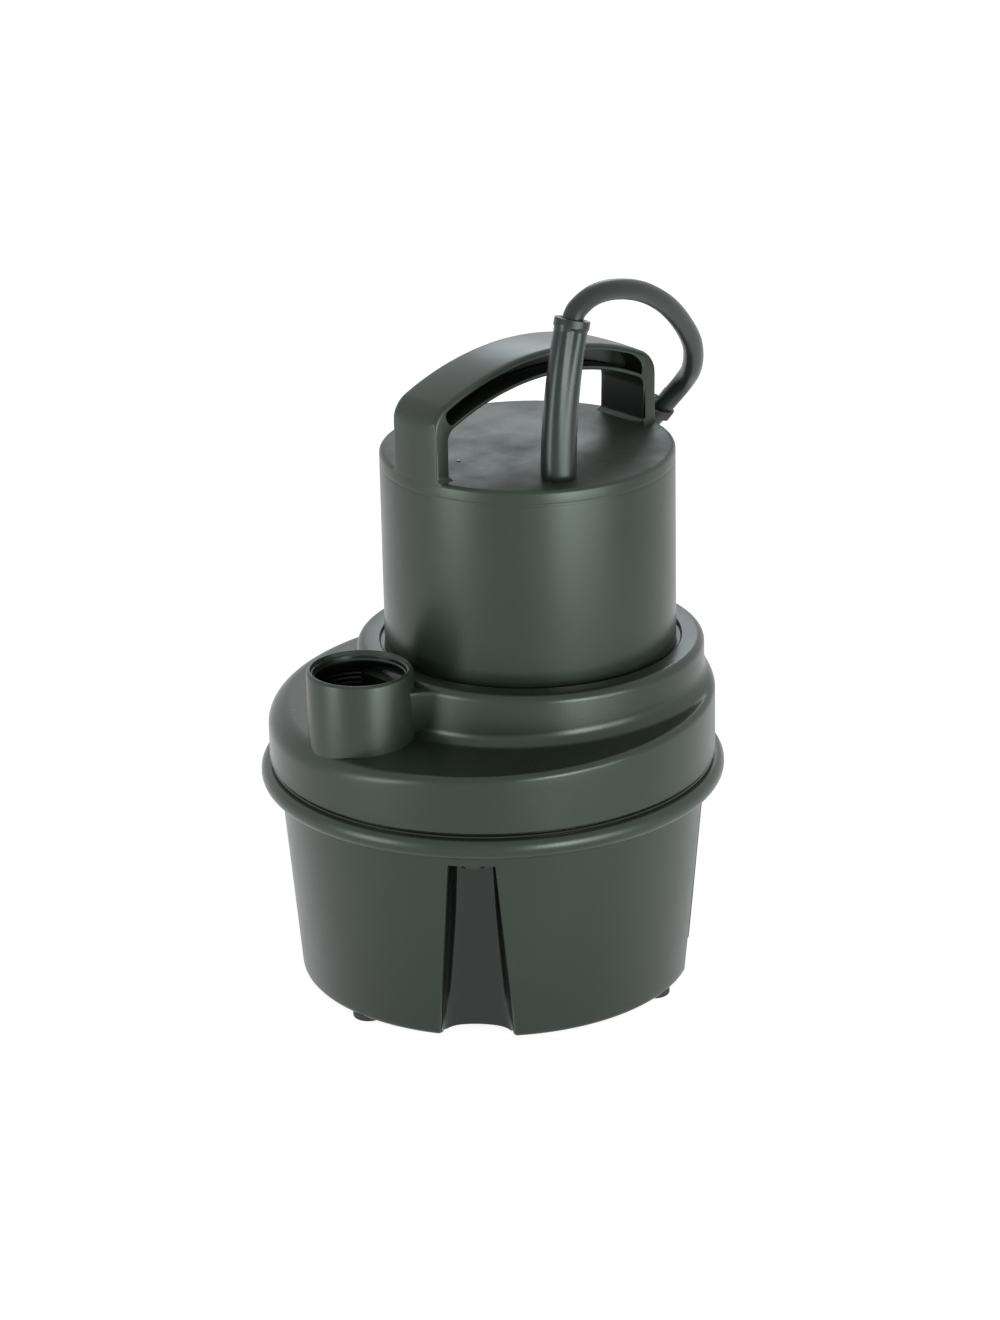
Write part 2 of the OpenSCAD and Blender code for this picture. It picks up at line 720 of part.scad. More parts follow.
module water_way() {
    at_axis() translate([0, 0, skirt_top - over])
        cylinder(r = volute_r, h = volute_top - skirt_top + over, $fn = big_fn);
    at_axis() translate([-volute_shift, 0, skirt_top - over])
        cylinder(r = volute_r, h = volute_top - skirt_top + over, $fn = big_fn);
    translate([port_x, port_y, duct_z]) rotate([0, 90, 0])
        cylinder(r = duct_r, h = axis_x - port_x - volute_r + duct_r, $fn = mid_fn);
    port_at(duct_z - duct_r) cylinder(r = port_throat_r, h = port_z - duct_z, $fn = mid_fn);
    port_at(port_z - port_bore_len) cylinder(r = port_bore_r, h = port_bore_len + over, $fn = big_fn);
    port_at(port_z - mouth_h) cylinder(r1 = port_bore_r, r2 = mouth_r, h = mouth_h + eps, $fn = big_fn);
}
module pump_body() {
    color("#454b47") difference() {
        union() {
            difference() {
                body_shell();
                body_hollow();
            }
            difference() {
                at_recess(fix_at) translate([0, 0, fix_z])
                    cylinder(r = fix_boss_r, h = skirt_top + core_h + over - fix_z, $fn = small_fn);
                at_axis() cylinder(r = plate_r + plate_room, h = skirt_top, $fn = big_fn);
            }
        }
        water_way();
        at_axis() translate([0, 0, seat_z])
            cylinder(r = motor_r + seat_groove, h = seat_sink + over, $fn = big_fn);
        at_axis() cylinder(r = hub_hole_r, h = seat_z + over, $fn = mid_fn);
        at_axis() translate([0, 0, seat_z - 2 * ring_r])
            tube(ring_groove_r + ring_room, ring_groove_r - ring_room, 2 * ring_r + over, big_fn);
        at_axis() around(body_screws_n, body_screw_at, body_screw_turn) {
            cylinder(r = screw_r + screw_gap, h = seat_z + over, $fn = small_fn);
            cylinder(r = sink_r, h = body_screw_z, $fn = small_fn);
        }
        at_recess(fix_at) cylinder(r = pilot_r, h = skirt_top - 2, $fn = small_fn);
        at_axis() around(4, plate_screw_at, 10)
            cylinder(r = pilot_r, h = skirt_top + plate_screw_len, $fn = small_fn);
    }
}
module body_screws() {
    color("#c4c7ca") at_axis() around(body_screws_n, body_screw_at, body_screw_turn)
        translate([0, 0, body_screw_z])
            screw(body_screw_len, screw_r, sink_r - sink_gap, body_head_h);
}
module volute_plate() {
    z = skirt_top - plate_t;
    eye_wall = 3;
    color("#3a3f3c") at_axis() difference() {
        union() {
            translate([0, 0, z]) cylinder(r = plate_r, h = plate_t, $fn = big_fn);
            translate([0, 0, z - eye_len])
                cylinder(r = eye_r + eye_wall, h = eye_len + eps, $fn = mid_fn);
        }
        translate([0, 0, z - eye_len - over])
            cylinder(r = eye_r, h = eye_len + plate_t + 2 * over, $fn = mid_fn);
        around(4, plate_screw_at, 10) translate([0, 0, z - over])
            cylinder(r = screw_r + screw_gap, h = plate_t + 2 * over, $fn = small_fn);
    }
}
module volute_plate_screws() {
    color("#c4c7ca") at_axis() around(4, plate_screw_at, 10) translate([0, 0, skirt_top - plate_t])
        screw(plate_screw_len, screw_r, sink_r - sink_gap, 2.4);
}

// ---- strainer base ----
base_taper = (base_top_r - base_bottom_r) / base_h;
module frustum(inset, z0, z1) {
    translate([0, 0, z0]) cylinder(h = z1 - z0, r1 = base_bottom_r + base_taper * (z0 - foot_h) - inset,
        r2 = base_bottom_r + base_taper * (z1 - foot_h) - inset, $fn = big_fn);
}
module recess_block(grow, top) {
    low = -over;
    slope = (recess_bottom_w - recess_top_w) / 2 / recess_top;
    wl = recess_bottom_w / 2 + grow + slope * over;
    wt = recess_bottom_w / 2 + grow - slope * top;
    at_recess(recess_back - grow) translate([0, 0, foot_h]) rotate([90, 0, 90])
        linear_extrude(drum_r - recess_back + 2 * grow)
            polygon([[-wl, low], [wl, low], [wt, top], [-wt, top]]);
}
module strainer_base() {
    lip = 5;
    edge = 2.5;
    color("#454b47") difference() {
        union() {
            difference() {
                union() {
                    frustum(0, foot_h + edge, base_top);
                    frustum(edge, foot_h, foot_h + edge + over);
                    translate([0, 0, foot_h + edge]) rotate_extrude($fn = big_fn)
                        translate([base_bottom_r - edge, 0]) circle(edge, $fn = mid_fn);
                    translate([0, 0, base_top - eps]) cylinder(r = base_top_r, h = lip, $fn = big_fn);
                }
                difference() {
                    union() {
                        frustum(base_wall, foot_h - over, base_top);
                        translate([0, 0, base_top - over])
                            cylinder(r = base_top_r - base_wall, h = lip + 2 * over, $fn = big_fn);
                    }
                    recess_block(base_wall, recess_top + pad_t);
                }
            }
            intersection() {
                for (a = feet_dirs) rotate(a) translate([feet_at, 0, foot_h])
                    cylinder(r = foot_r, h = foot_boss_h, $fn = mid_fn);
                frustum(1, foot_h, base_top);
            }
        }
        recess_block(0, recess_top);
        at_recess(recess_back - 2 * base_wall) translate([0, 0, foot_h + arch_h - arch_r])
            rotate([0, 90, 0]) cylinder(r = arch_r, h = drum_r - recess_back, $fn = 2 * big_fn);
        at_recess(fix_at) translate([0, 0, recess_top])
            cylinder(r = hole_r, h = pad_t + foot_h + over, $fn = small_fn);
        at_recess(fix_at) translate([0, 0, foot_h + recess_top - over])
            cylinder(r = head_r + sink_gap, h = head_h + over, $fn = small_fn);
        for (a = feet_dirs) rotate(a) translate([feet_at, 0, 0])
            cylinder(r = stem_r + seat_gap, h = foot_h + stem_h, $fn = mid_fn);
    }
}
module base_screws() {
    color("#c4c7ca") at_recess(fix_at) translate([0, 0, foot_h + recess_top + head_h])
        screw(base_screw_len, screw_r, head_r, head_h);
}
module intake_screen() {
    bar_pitch = 12;
    gap_w = 4;
    slots_r = screen_r - bar_pitch * 0.6;
    side = floor(slots_r / bar_pitch);
    color("#2c302e") difference() {
        translate([0, 0, screen_z]) cylinder(r = screen_r, h = screen_t, $fn = big_fn);
        for (i = [-side : side]) for (s = [-1, 1])
            let (x = bar_pitch * i, l = sqrt(slots_r * slots_r - x * x) - gap_w)
                translate([x - gap_w / 2, s > 0 ? gap_w : -gap_w - l, screen_z - over])
                    cube([gap_w, l, screen_t + 2 * over]);
    }
}
module rubber_feet() {
    color("#1c1e1d") for (a = feet_dirs) rotate(a) translate([feet_at, 0, 0]) {
        cylinder(r = foot_r, h = foot_h, $fn = mid_fn);
        cylinder(r = stem_r, h = foot_h + stem_h - 0.5, $fn = small_fn);
    }
}

// ---- cord ----
module cable_tie() {
    tie_w = 4.8;
    tie_t = 1.3;
    head = [5, 4, 6.8];
    tail = 9;
    color("#17191a") at_tie() {
        translate([0, 0, -tie_w / 2]) linear_extrude(tie_w) difference() {
            union() {
                circle(cord_r + tie_t, $fn = mid_fn);
                translate([-tie_reach, 0]) circle(cord_r + tie_t, $fn = mid_fn);
                translate([-tie_reach, -cord_r - tie_t]) square([tie_reach, 2 * (cord_r + tie_t)]);
            }
            circle(cord_r, $fn = mid_fn);
            translate([-tie_reach, 0]) circle(cord_r, $fn = mid_fn);
            translate([-tie_reach, -cord_r]) square([tie_reach, 2 * cord_r]);
        }
        translate([-head[0] / 2, -cord_r - tie_t - head[1] + eps, -head[2] / 2]) cube(head);
        translate([-tie_reach, cord_r + tie_t - eps, -tie_w / 2]) cube([tie_t, tail, tie_w]);
    }
}
module power_cord() {
    color("#3a403c") sweep(cord_pts, cord_dirs, cord_r, 10, [1, 0, 0]);
}
module cord_coil() {
    color("#3a403c") sweep(coil_pts, tangents(coil_pts), cord_r, 6, [0, 0, 1]);
}
coil_wrap_dir = 60;
wrap_w = 16;
wrap_t = 1;
wrap_gap = 0.6;
module coil_tie() {
    r_in = coil_out - coil_pitch * coil_turns - cord_r - wrap_t;
    r_out = coil_out + cord_r + wrap_t;
    high = coil_z + coil_rise + cord_r + wrap_gap;
    color("#17191a") translate([coil_mid[0], coil_mid[1], 0]) rotate(coil_wrap_dir)
        translate([0, wrap_w / 2, 0]) rotate([90, 0, 0]) linear_extrude(wrap_w) difference() {
            translate([r_in - wrap_t, 0]) square([r_out - r_in + 2 * wrap_t, high + wrap_t]);
            translate([r_in, wrap_t]) square([r_out - r_in, high - wrap_t]);
        }
}
plug_r = 15;
plug_len = 34;
plug_boot_r = 7.5;
plug_boot_h = 12;
plug_flare_h = 8;
module at_plug() {
    translate(coil_end) rotate(atan2(coil_out_dir[1], coil_out_dir[0])) rotate([0, 90, 0]) children();
}
module plug_body() {
    low = plug_boot_h + plug_flare_h;
    color("#1f2221") at_plug() {
        cylinder(r1 = cord_r + 1.5, r2 = plug_boot_r, h = plug_boot_h, $fn = mid_fn);
        translate([0, 0, plug_boot_h - eps])
            cylinder(r1 = plug_boot_r, r2 = plug_r, h = plug_flare_h + eps, $fn = mid_fn);
        translate([0, 0, low - eps]) cylinder(r = plug_r, h = plug_len - low + eps, $fn = mid_fn);
    }
}
module plug_blades() {
    blade = [6.3, 1.5, 17];
    apart = 12.7;
    blade_x = 4.5;
    pin_x = blade_x - 11.9;
    color("#c9b26a") at_plug() translate([0, 0, plug_len]) {
        for (s = [-1, 1]) translate([blade_x - blade[0] / 2, (s * apart - blade[1]) / 2, 0]) cube(blade);
        translate([pin_x, 0, 0]) cylinder(r = 2.4, h = 20, $fn = mid_fn);
    }
}
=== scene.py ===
import json
import math

import bmesh
import bpy
import numpy as np
from mathutils import Matrix, Vector


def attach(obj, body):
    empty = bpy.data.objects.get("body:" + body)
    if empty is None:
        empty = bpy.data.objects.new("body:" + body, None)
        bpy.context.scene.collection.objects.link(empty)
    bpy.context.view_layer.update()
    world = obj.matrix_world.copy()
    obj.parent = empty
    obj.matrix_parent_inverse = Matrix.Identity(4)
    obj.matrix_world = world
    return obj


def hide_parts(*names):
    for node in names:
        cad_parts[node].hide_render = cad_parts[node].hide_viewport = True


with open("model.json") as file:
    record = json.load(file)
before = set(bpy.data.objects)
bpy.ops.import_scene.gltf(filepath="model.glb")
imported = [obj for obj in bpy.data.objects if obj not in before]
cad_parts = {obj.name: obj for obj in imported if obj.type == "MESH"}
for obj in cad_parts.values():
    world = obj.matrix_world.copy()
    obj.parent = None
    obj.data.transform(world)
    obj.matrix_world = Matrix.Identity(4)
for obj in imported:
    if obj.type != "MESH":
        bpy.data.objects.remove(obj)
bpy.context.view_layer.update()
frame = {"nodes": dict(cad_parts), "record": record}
print("frame loaded,", len(frame["nodes"]), "nodes")

mm = 0.001
turn = 2 * np.pi

# shared places, in millimetres, as in the part's source
pump = {
    "axis": (20, -4), "motorR": 64.2, "seatZ": 151.2, "capZ": 240.4, "wall": 3,
    "tierR": 76.5, "tierZ": 153, "ledgeZ": 130.5, "ceilingZ": 118,
    "drumR": 98.5, "skirtR": 95, "baseTop": 96, "footH": 3,
    "port": (-72.7, 1), "portR": 23, "portZ": 160,
    "cordR": 4.5,
}


# meshes from grids
def gridQuads(rows, cols, closeRows, closeCols, first):
    # quads between neighbouring rows and columns; a closed side joins its last line to its first
    i = np.arange(rows if closeRows else rows - 1)
    j = np.arange(cols if closeCols else cols - 1)
    a, b = np.meshgrid(i, j, indexing="ij")
    a2, b2 = (a + 1) % rows, (b + 1) % cols
    quads = np.stack([a * cols + b, a * cols + b2, a2 * cols + b2, a2 * cols + b], -1)
    return quads.reshape(-1, 4) + first


def added(name, data):
    # a new object with that data, in the scene
    thing = bpy.data.objects.new(name, data)
    bpy.context.scene.collection.objects.link(thing)
    return thing


def joined(*axes):
    # numbers for each axis, spread to one shape and laid side by side as points
    return np.stack(np.broadcast_arrays(*axes), -1)


def openEnds(grid):
    # a grid whose columns close into a ring, from its first row to its last
    return grid, False, True


def closedRing(grid):
    # a grid that closes both ways, as a ring's skin does
    return grid, True, True


def makePiece(name, grids, material, crease=38, uvs=None, shares=None):
    # grids are (points in mm, close rows, close columns); doubles at seams and poles are merged;
    # each of the shares gives a number from nought to one at every point, stored for the material
    points, quads, first = [], [], 0
    for grid, closeRows, closeCols in grids:
        rows, cols = grid.shape[:2]
        points.append(grid.reshape(-1, 3))
        quads.append(gridQuads(rows, cols, closeRows, closeCols, first))
        first += rows * cols
    points, quads = np.concatenate(points) * mm, np.concatenate(quads)
    mesh = bpy.data.meshes.new(name)
    mesh.from_pydata(points.tolist(), [], quads.tolist())
    if uvs is not None:
        layer = mesh.uv_layers.new(name="along")
        layer.data.foreach_set("uv", uvs.reshape(-1, 2)[quads.reshape(-1)].ravel())
    work = bmesh.new()
    work.from_mesh(mesh)
    double, flat = 0.002 * mm, 0.001 * mm
    bmesh.ops.remove_doubles(work, verts=work.verts, dist=double)
    bmesh.ops.dissolve_degenerate(work, edges=work.edges, dist=flat)
    bmesh.ops.recalc_face_normals(work, faces=work.faces)
    work.to_mesh(mesh)
    work.free()
    mesh.shade_smooth()
    mesh.set_sharp_from_angle(angle=math.radians(crease))
    spots = np.empty(len(mesh.vertices) * 3)
    mesh.vertices.foreach_get("co", spots)
    for label, share in (shares or {}).items():
        values = share(*(spots.reshape(-1, 3) / mm).T)
        mesh.attributes.new(label, "FLOAT", "POINT").data.foreach_set("value", values)
    mesh.materials.append(material)
    print("piece", name, len(mesh.polygons), "faces")
    return added(name, mesh)


def roundedPath(corners, steps=6, closed=False):
    # corners are (x, y, radius); each one becomes its tangent arc, found by turning the arm to the arc's
    # start round to the arm to its end
    pts = np.array([c[:2] for c in corners], float)
    out = []
    for i, here in enumerate(pts):
        radius = corners[i][2]
        if radius == 0 or (not closed and i in (0, len(corners) - 1)):
            out.append(here[None])
            continue
        u = pts[i - 1] - here
        v = pts[(i + 1) % len(pts)] - here
        u, v = u / np.linalg.norm(u), v / np.linalg.norm(v)
        half = np.arccos(np.clip(u @ v, -1, 1)) / 2
        centre = here + (u + v) / np.linalg.norm(u + v) * radius / np.sin(half)
        a, b = here + u * radius / np.tan(half) - centre, here + v * radius / np.tan(half) - centre
        full = np.pi - 2 * half
        t = np.linspace(0, 1, steps + 1)[:, None]
        out.append(centre + (np.sin((1 - t) * full) * a + np.sin(t * full) * b) / np.sin(full))
    return np.concatenate(out)


def latheGrid(profile, centre=(0, 0), around=192):
    # the profile (radius, height) turned about a vertical axis through centre
    a = np.linspace(0, turn, around, endpoint=False)
    r, z = profile[:, :1], profile[:, 1:]
    return joined(centre[0] + r * np.cos(a), centre[1] + r * np.sin(a), z)


def shifted(corners, out, up):
    # a profile's corners (radius, height, rounding) moved outward and up
    return [(r + out, z + up, rounding) for r, z, rounding in corners]


def carriedFrames(path, start):
    # unit tangents, and a normal carried along them with no twist: each step drops the new tangent's share
    tangents = np.gradient(path, axis=0)
    tangents /= np.linalg.norm(tangents, axis=1)[:, None]
    normals = np.empty_like(path)
    n = np.array(start, float)
    for i, t in enumerate(tangents):
        n = n - (n @ t) * t
        n /= np.linalg.norm(n)
        normals[i] = n
    return normals, np.cross(tangents, normals)


def sweepGrid(path, section, start=(1, 0, 0)):
    # section (m, k, 2) or (k, 2) carried along the path: point = path + x * normal + y * binormal
    n, b = carriedFrames(path, start)
    section = np.broadcast_to(section, (len(path),) + section.shape[-2:])
    return path[:, None] + section[..., :1] * n[:, None] + section[..., 1:] * b[:, None]


def withEnds(grid):
    # the grid closed at both ends by a row gathered to that end's middle
    ends = [np.repeat(g.mean(0, keepdims=True), g.shape[0], 0)[None] for g in (grid[0], grid[-1])]
    return np.concatenate([ends[0], grid, ends[1]])


def standIn(piece, slot, *nodes):
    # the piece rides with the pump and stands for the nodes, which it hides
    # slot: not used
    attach(piece, "pump")
    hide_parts(*nodes)
    return piece


def runLength(path):
    # how far each point lies along the path: the sum of the steps before it
    return np.concatenate([[0], np.cumsum(np.linalg.norm(np.diff(path, axis=0), axis=1))])


def roundedBox(size, radius, steps=4):
    # a sphere's points, each pushed out to its own corner: point = side * (half size - radius) + radius * n
    quarter = np.linspace(0, np.pi / 2, steps)
    lon = np.concatenate([quarter + k * np.pi / 2 for k in range(4)])
    sideX = np.repeat([1, -1, -1, 1], steps)
    sideY = np.repeat([1, 1, -1, -1], steps)
    lat = np.concatenate([quarter - np.pi / 2, quarter])
    sideZ = np.repeat([-1, 1], steps)
    half = np.array(size) / 2 - radius
    x = sideX * half[0] + radius * np.cos(lat)[:, None] * np.cos(lon)
    y = sideY * half[1] + radius * np.cos(lat)[:, None] * np.sin(lon)
    grid = joined(x, y, (sideZ * half[2] + radius * np.sin(lat))[:, None])
    poles = [np.tile([0, 0, s * size[2] / 2], (1, len(lon), 1)) for s in (-1, 1)]
    return np.concatenate([poles[0], grid, poles[1]])


def placed(grid, matrix, origin):
    # grid points turned by a 3x3 matrix and moved to origin
    return grid @ np.asarray(matrix).T + np.asarray(origin)


def spunAbout(degrees):
    # the 3x3 matrix of a turn about the vertical
    return np.array(Matrix.Rotation(math.radians(degrees), 3, "Z"))


def hollowFillet(q, radius):
    # rise of a concave fillet at distance q from a wall: radius at the wall, none past the radius
    q = np.clip(q, 0, radius)
    return radius - np.sqrt(radius ** 2 - (radius - q) ** 2)


def eased(share):
    # nought to one with no kink at either end: three squares less two cubes
    return share ** 2 * (3 - 2 * share)


# node helpers
def newGroup(name, inputs, outputs):
    # a shader group whose inputs are (label, kind, value) and outputs (label, kind)
    group = bpy.data.node_groups.new(name, "ShaderNodeTree")
    for label, kind, value in inputs:
        socket = group.interface.new_socket(label, in_out="INPUT", socket_type=kind)
        if value is not None:
            socket.default_value = value
    for label, kind in outputs:
        group.interface.new_socket(label, in_out="OUTPUT", socket_type=kind)
    return group, group.nodes.new("NodeGroupInput"), group.nodes.new("NodeGroupOutput")


def addNode(tree, kind, **values):
    # a node with its properties or input values set by name, and links where a value is a socket
    node = tree.nodes.new(kind)
    for key, value in values.items():
        if hasattr(node, key) and key not in ("inputs", "color"):
            setattr(node, key, value)
            continue
        label = {"a": 0, "b": 1}.get(key, key.replace("_", " "))
        socket = node.inputs[label]
        if isinstance(value, bpy.types.NodeSocket):
            tree.links.new(value, socket)
        else:
            socket.default_value = value
    return node


def mathNode(tree, operation, first, *others, clamp=False):
    # the operation on the first value and each of the others in turn
    for other in others or (0.0,):
        node = addNode(tree, "ShaderNodeMath", operation=operation, use_clamp=clamp, a=first, b=other)
        first = node.outputs[0]
    return first


def scaled(tree, value, share):
    # the value times a share
    return mathNode(tree, "MULTIPLY", value, share)


def mixColour(tree, factor, first, second):
    # the first colour where the factor is nought, the second where it is one
    node = tree.nodes.new("ShaderNodeMix")
    node.data_type = "RGBA"
    for index, value in ((0, factor), (6, first), (7, second)):
        if isinstance(value, bpy.types.NodeSocket):
            tree.links.new(value, node.inputs[index])
        else:
            node.inputs[index].default_value = value
    return node.outputs[2]


def ramp(tree, value, low, high, start=0.0, end=1.0):
    # start at the low value, end at the high one, straight between them
    return addNode(tree, "ShaderNodeMapRange", Value=value, From_Min=low, From_Max=high, To_Min=start,
                   To_Max=end).outputs[0]


def noiseNode(tree, place, scale, detail, rough=0.5):
    # soft noise with about that many cells to a metre
    node = addNode(tree, "ShaderNodeTexNoise", Vector=place, Scale=scale, Detail=detail, Roughness=rough)
    return node.outputs[0]


def stretchedNoise(tree, vector, scale, stretch, detail=3.0):
    # noise read through a mapping that squeezes one direction, for grain and scratches
    spread = addNode(tree, "ShaderNodeMapping", Vector=vector, Scale=stretch).outputs[0]
    return noiseNode(tree, spread, scale, detail)


# the moulded skin: noises as (cells to a metre, detail, roughness), and between which values each shows
skin = {
    "cloud": (9.0, 4.0, 0.6), "cloudRough": (-0.9, 1.9),
    "scuff": 420.0, "scuffEdge": (0.70, 0.76), "scuffWays": ((0.06, 1, 1), (1, 0.07, 1), (1, 1, 0.05)),
    "patch": (26.0, 2.0), "patchEdge": (0.52, 0.68), "scuffRough": 0.15, "scuffPale": 0.12,
    "dustUp": (0.3, 1.0), "drift": (35.0, 4.0), "driftEdge": (0.38, 0.7), "speck": (1500.0, 3.0),
    "speckEdge": (0.35, 0.7), "dustColour": (0.20, 0.20, 0.185, 1), "dustRough": 0.5,
    # painted shade: a near-black colour, its share, and a drop in roughness where the mesh marks shade
    "paintedShadeColour": (0.002, 0.002, 0.002, 1), "paintedShadeShare": 0.85, "paintedShadeGloss": 0.1,
    "wornScale": 38.0, "wornRough": (0.05, 0.24),
}


def makeMouldedGroup():
    # moulded skin: cloudy colour, orange peel, fine grain, and short scuffs in three directions
    group, gin, gout = newGroup(
        "mouldedSkin",
        [("Vector", "NodeSocketVector", None), ("Peel", "NodeSocketFloat", 700.0),
         ("Grain", "NodeSocketFloat", 4200.0), ("Scuffs", "NodeSocketFloat", 0.5)],
        [("Cloud", "NodeSocketFloat"), ("Scuff", "NodeSocketFloat"), ("Height", "NodeSocketFloat")])
    place = gin.outputs["Vector"]
    cloud = noiseNode(group, place, *skin["cloud"])
    peel = noiseNode(group, place, gin.outputs["Peel"], 1.0)
    grain = noiseNode(group, place, gin.outputs["Grain"], 2.0)
    thin = [ramp(group, stretchedNoise(group, place, skin["scuff"], way), *skin["scuffEdge"])
            for way in skin["scuffWays"]]
    patch = ramp(group, noiseNode(group, place, *skin["patch"]), *skin["patchEdge"])
    scuff = mathNode(group, "MULTIPLY", mathNode(group, "MAXIMUM", *thin), patch, gin.outputs["Scuffs"])
    height = mathNode(group, "ADD", scaled(group, peel, 0.8), scaled(group, grain, 0.2))
    height = mathNode(group, "SUBTRACT", height, scaled(group, scuff, 0.35))
    for label, value in (("Cloud", cloud), ("Scuff", scuff), ("Height", height)):
        group.links.new(value, gout.inputs[label])
    return group


def makeDustGroup():
    # dust that settles on faces that look up, broken by noise
    group, gin, gout = newGroup(
        "settledDust", [("Vector", "NodeSocketVector", None), ("Amount", "NodeSocketFloat", 0.3)],
        [("Mask", "NodeSocketFloat")])
    normal = group.nodes.new("ShaderNodeNewGeometry").outputs["Normal"]
    up = ramp(group, addNode(group, "ShaderNodeSeparateXYZ", Vector=normal).outputs[2], *skin["dustUp"])
    drift, speck = (ramp(group, noiseNode(group, gin.outputs["Vector"], *skin[key]), *skin[key + "Edge"])
                    for key in ("drift", "speck"))
    mask = mathNode(group, "MULTIPLY", up, drift, speck, gin.outputs["Amount"])
    group.links.new(mask, gout.inputs["Mask"])
    return group


mouldedSkin = makeMouldedGroup()
settledDust = makeDustGroup()


# materials
def newMaterial(name):
    # a material with its tree and its shader
    material = bpy.data.materials.new(name)
    material.use_nodes = True
    return material, material.node_tree, material.node_tree.nodes["Principled BSDF"]


def shade(colour, share, lift=0.0):
    # the colour times a share, with a lift added, as a colour with alpha
    return [share * c + lift for c in colour] + [1]


def placedGroup(tree, group, place, **values):
    # one use of a shared group on the given coordinates, with its own values
    node = addNode(tree, "ShaderNodeGroup", node_tree=group)
    tree.links.new(place, node.inputs["Vector"])
    for label, value in values.items():
        node.inputs[label].default_value = value
    return node.outputs


def surface(tree, shader, body, rough, height, bump, reach):
    # colour, roughness and a raised skin led to the shader
    raised = addNode(tree, "ShaderNodeBump", Strength=bump, Distance=reach, Height=height).outputs[0]
    for label, value in (("Base Color", body), ("Roughness", rough), ("Normal", raised)):
        tree.links.new(value, shader.inputs[label])


def plasticMaterial(name, colour, roughness, peel=700.0, grain=4200.0, scuffs=0.5, dust=0.2, bump=0.12,
                    reach=0.0002, specular=0.5, vary=0.16, sheen=(1, 1, 1, 1)):
    # colour is linear; cloud shifts it, scuffs pale it, dust greys what faces up, painted shade darkens
    # the places the mesh marks as shaded and makes them glossier, worn ones duller in blotches
    material, tree, shader = newMaterial(name)
    place = tree.nodes.new("ShaderNodeTexCoord").outputs["Object"]
    moulded = placedGroup(tree, mouldedSkin, place, Peel=peel, Grain=grain, Scuffs=scuffs)
    settled = placedGroup(tree, settledDust, place, Amount=dust)["Mask"]
    cloud, scuff = moulded["Cloud"], moulded["Scuff"]
    paintedShade, worn = (addNode(tree, "ShaderNodeAttribute", attribute_name=label).outputs["Fac"]
                       for label in ("paintedShade", "worn"))
    body = mixColour(tree, ramp(tree, cloud, 0.3, 0.7), shade(colour, 1 - vary), shade(colour, 1 + vary))
    body = mixColour(tree, scuff, body, shade(colour, 0.5, skin["scuffPale"]))
    body = mixColour(tree, settled, body, skin["dustColour"])
    # painted shade: near black mixed in where the mesh marks shaded places
    body = mixColour(tree, scaled(tree, paintedShade, skin["paintedShadeShare"]), body, skin["paintedShadeColour"])
    rough = mathNode(tree, "ADD", ramp(tree, cloud, *skin["cloudRough"]), roughness - 0.5)
    rough = mathNode(tree, "SUBTRACT", rough, scaled(tree, paintedShade, skin["paintedShadeGloss"]), clamp=True)
    rubbed = ramp(tree, noiseNode(tree, place, skin["wornScale"], 4.0, 0.6), 0.3, 0.7, *skin["wornRough"])
    rough = mathNode(tree, "ADD", rough, scaled(tree, worn, rubbed), scaled(tree, settled, skin["dustRough"]),
                     scaled(tree, scuff, skin["scuffRough"]), clamp=True)
    surface(tree, shader, body, rough, moulded["Height"], bump, reach)
    shader.inputs["Specular IOR Level"].default_value = specular
    shader.inputs["Specular Tint"].default_value = sheen
    return material


def metalMaterial(name, colour, roughness, stretch=(1, 1, 0.05), scale=900.0, bump=0.15, layers=0.0):
    # drawn or ground metal: noise stretched along the grain, cloudy tarnish; layers adds stacked sheets
    material, tree, shader = newMaterial(name)
    place = tree.nodes.new("ShaderNodeTexCoord").outputs["Object"]
    height = grain = stretchedNoise(tree, place, scale, stretch)
    tarnish = noiseNode(tree, place, 60.0, 5.0)
    body = mixColour(tree, ramp(tree, tarnish, 0.35, 0.62), shade(colour, 0.72), shade(colour, 1))
    if layers:
        rise = addNode(tree, "ShaderNodeSeparateXYZ", Vector=place).outputs[2]
        wave = mathNode(tree, "SINE", scaled(tree, rise, layers))
        body = mixColour(tree, ramp(tree, wave, 0.2, 0.9), body, shade(colour, 0.45))
        height = mathNode(tree, "SUBTRACT", grain, wave)
    rough = mathNode(tree, "ADD", scaled(tree, grain, 0.3), roughness - 0.15, clamp=True)
    surface(tree, shader, body, rough, height, bump, 0.0001)
    shader.inputs["Metallic"].default_value = 1.0
    return material


def jacketMaterial(name, colour, roughness, specular):
    # cord jacket: drawn lines along the cord from its own map, cloudy colour, fine grain
    material, tree, shader = newMaterial(name)
    along = addNode(tree, "ShaderNodeUVMap", uv_map="along").outputs[0]
    place = tree.nodes.new("ShaderNodeTexCoord").outputs["Object"]
    draw = stretchedNoise(tree, along, 10.0, (2.4, 0.12, 1), detail=2.0)
    cloud, grain = noiseNode(tree, place, 22.0, 4.0), noiseNode(tree, place, 2600.0, 2.0)
    body = mixColour(tree, ramp(tree, cloud, 0.3, 0.7), shade(colour, 0.8), shade(colour, 1.2))
    body = mixColour(tree, ramp(tree, draw, 0.62, 0.75), body, shade(colour, 1.5))
    rough = mathNode(tree, "ADD", scaled(tree, cloud, 0.2), roughness - 0.1, clamp=True)
    height = mathNode(tree, "ADD", scaled(tree, draw, 0.7), scaled(tree, grain, 0.3))
    surface(tree, shader, body, rough, height, 0.25, 0.0003)
    shader.inputs["Specular IOR Level"].default_value = specular
    return material


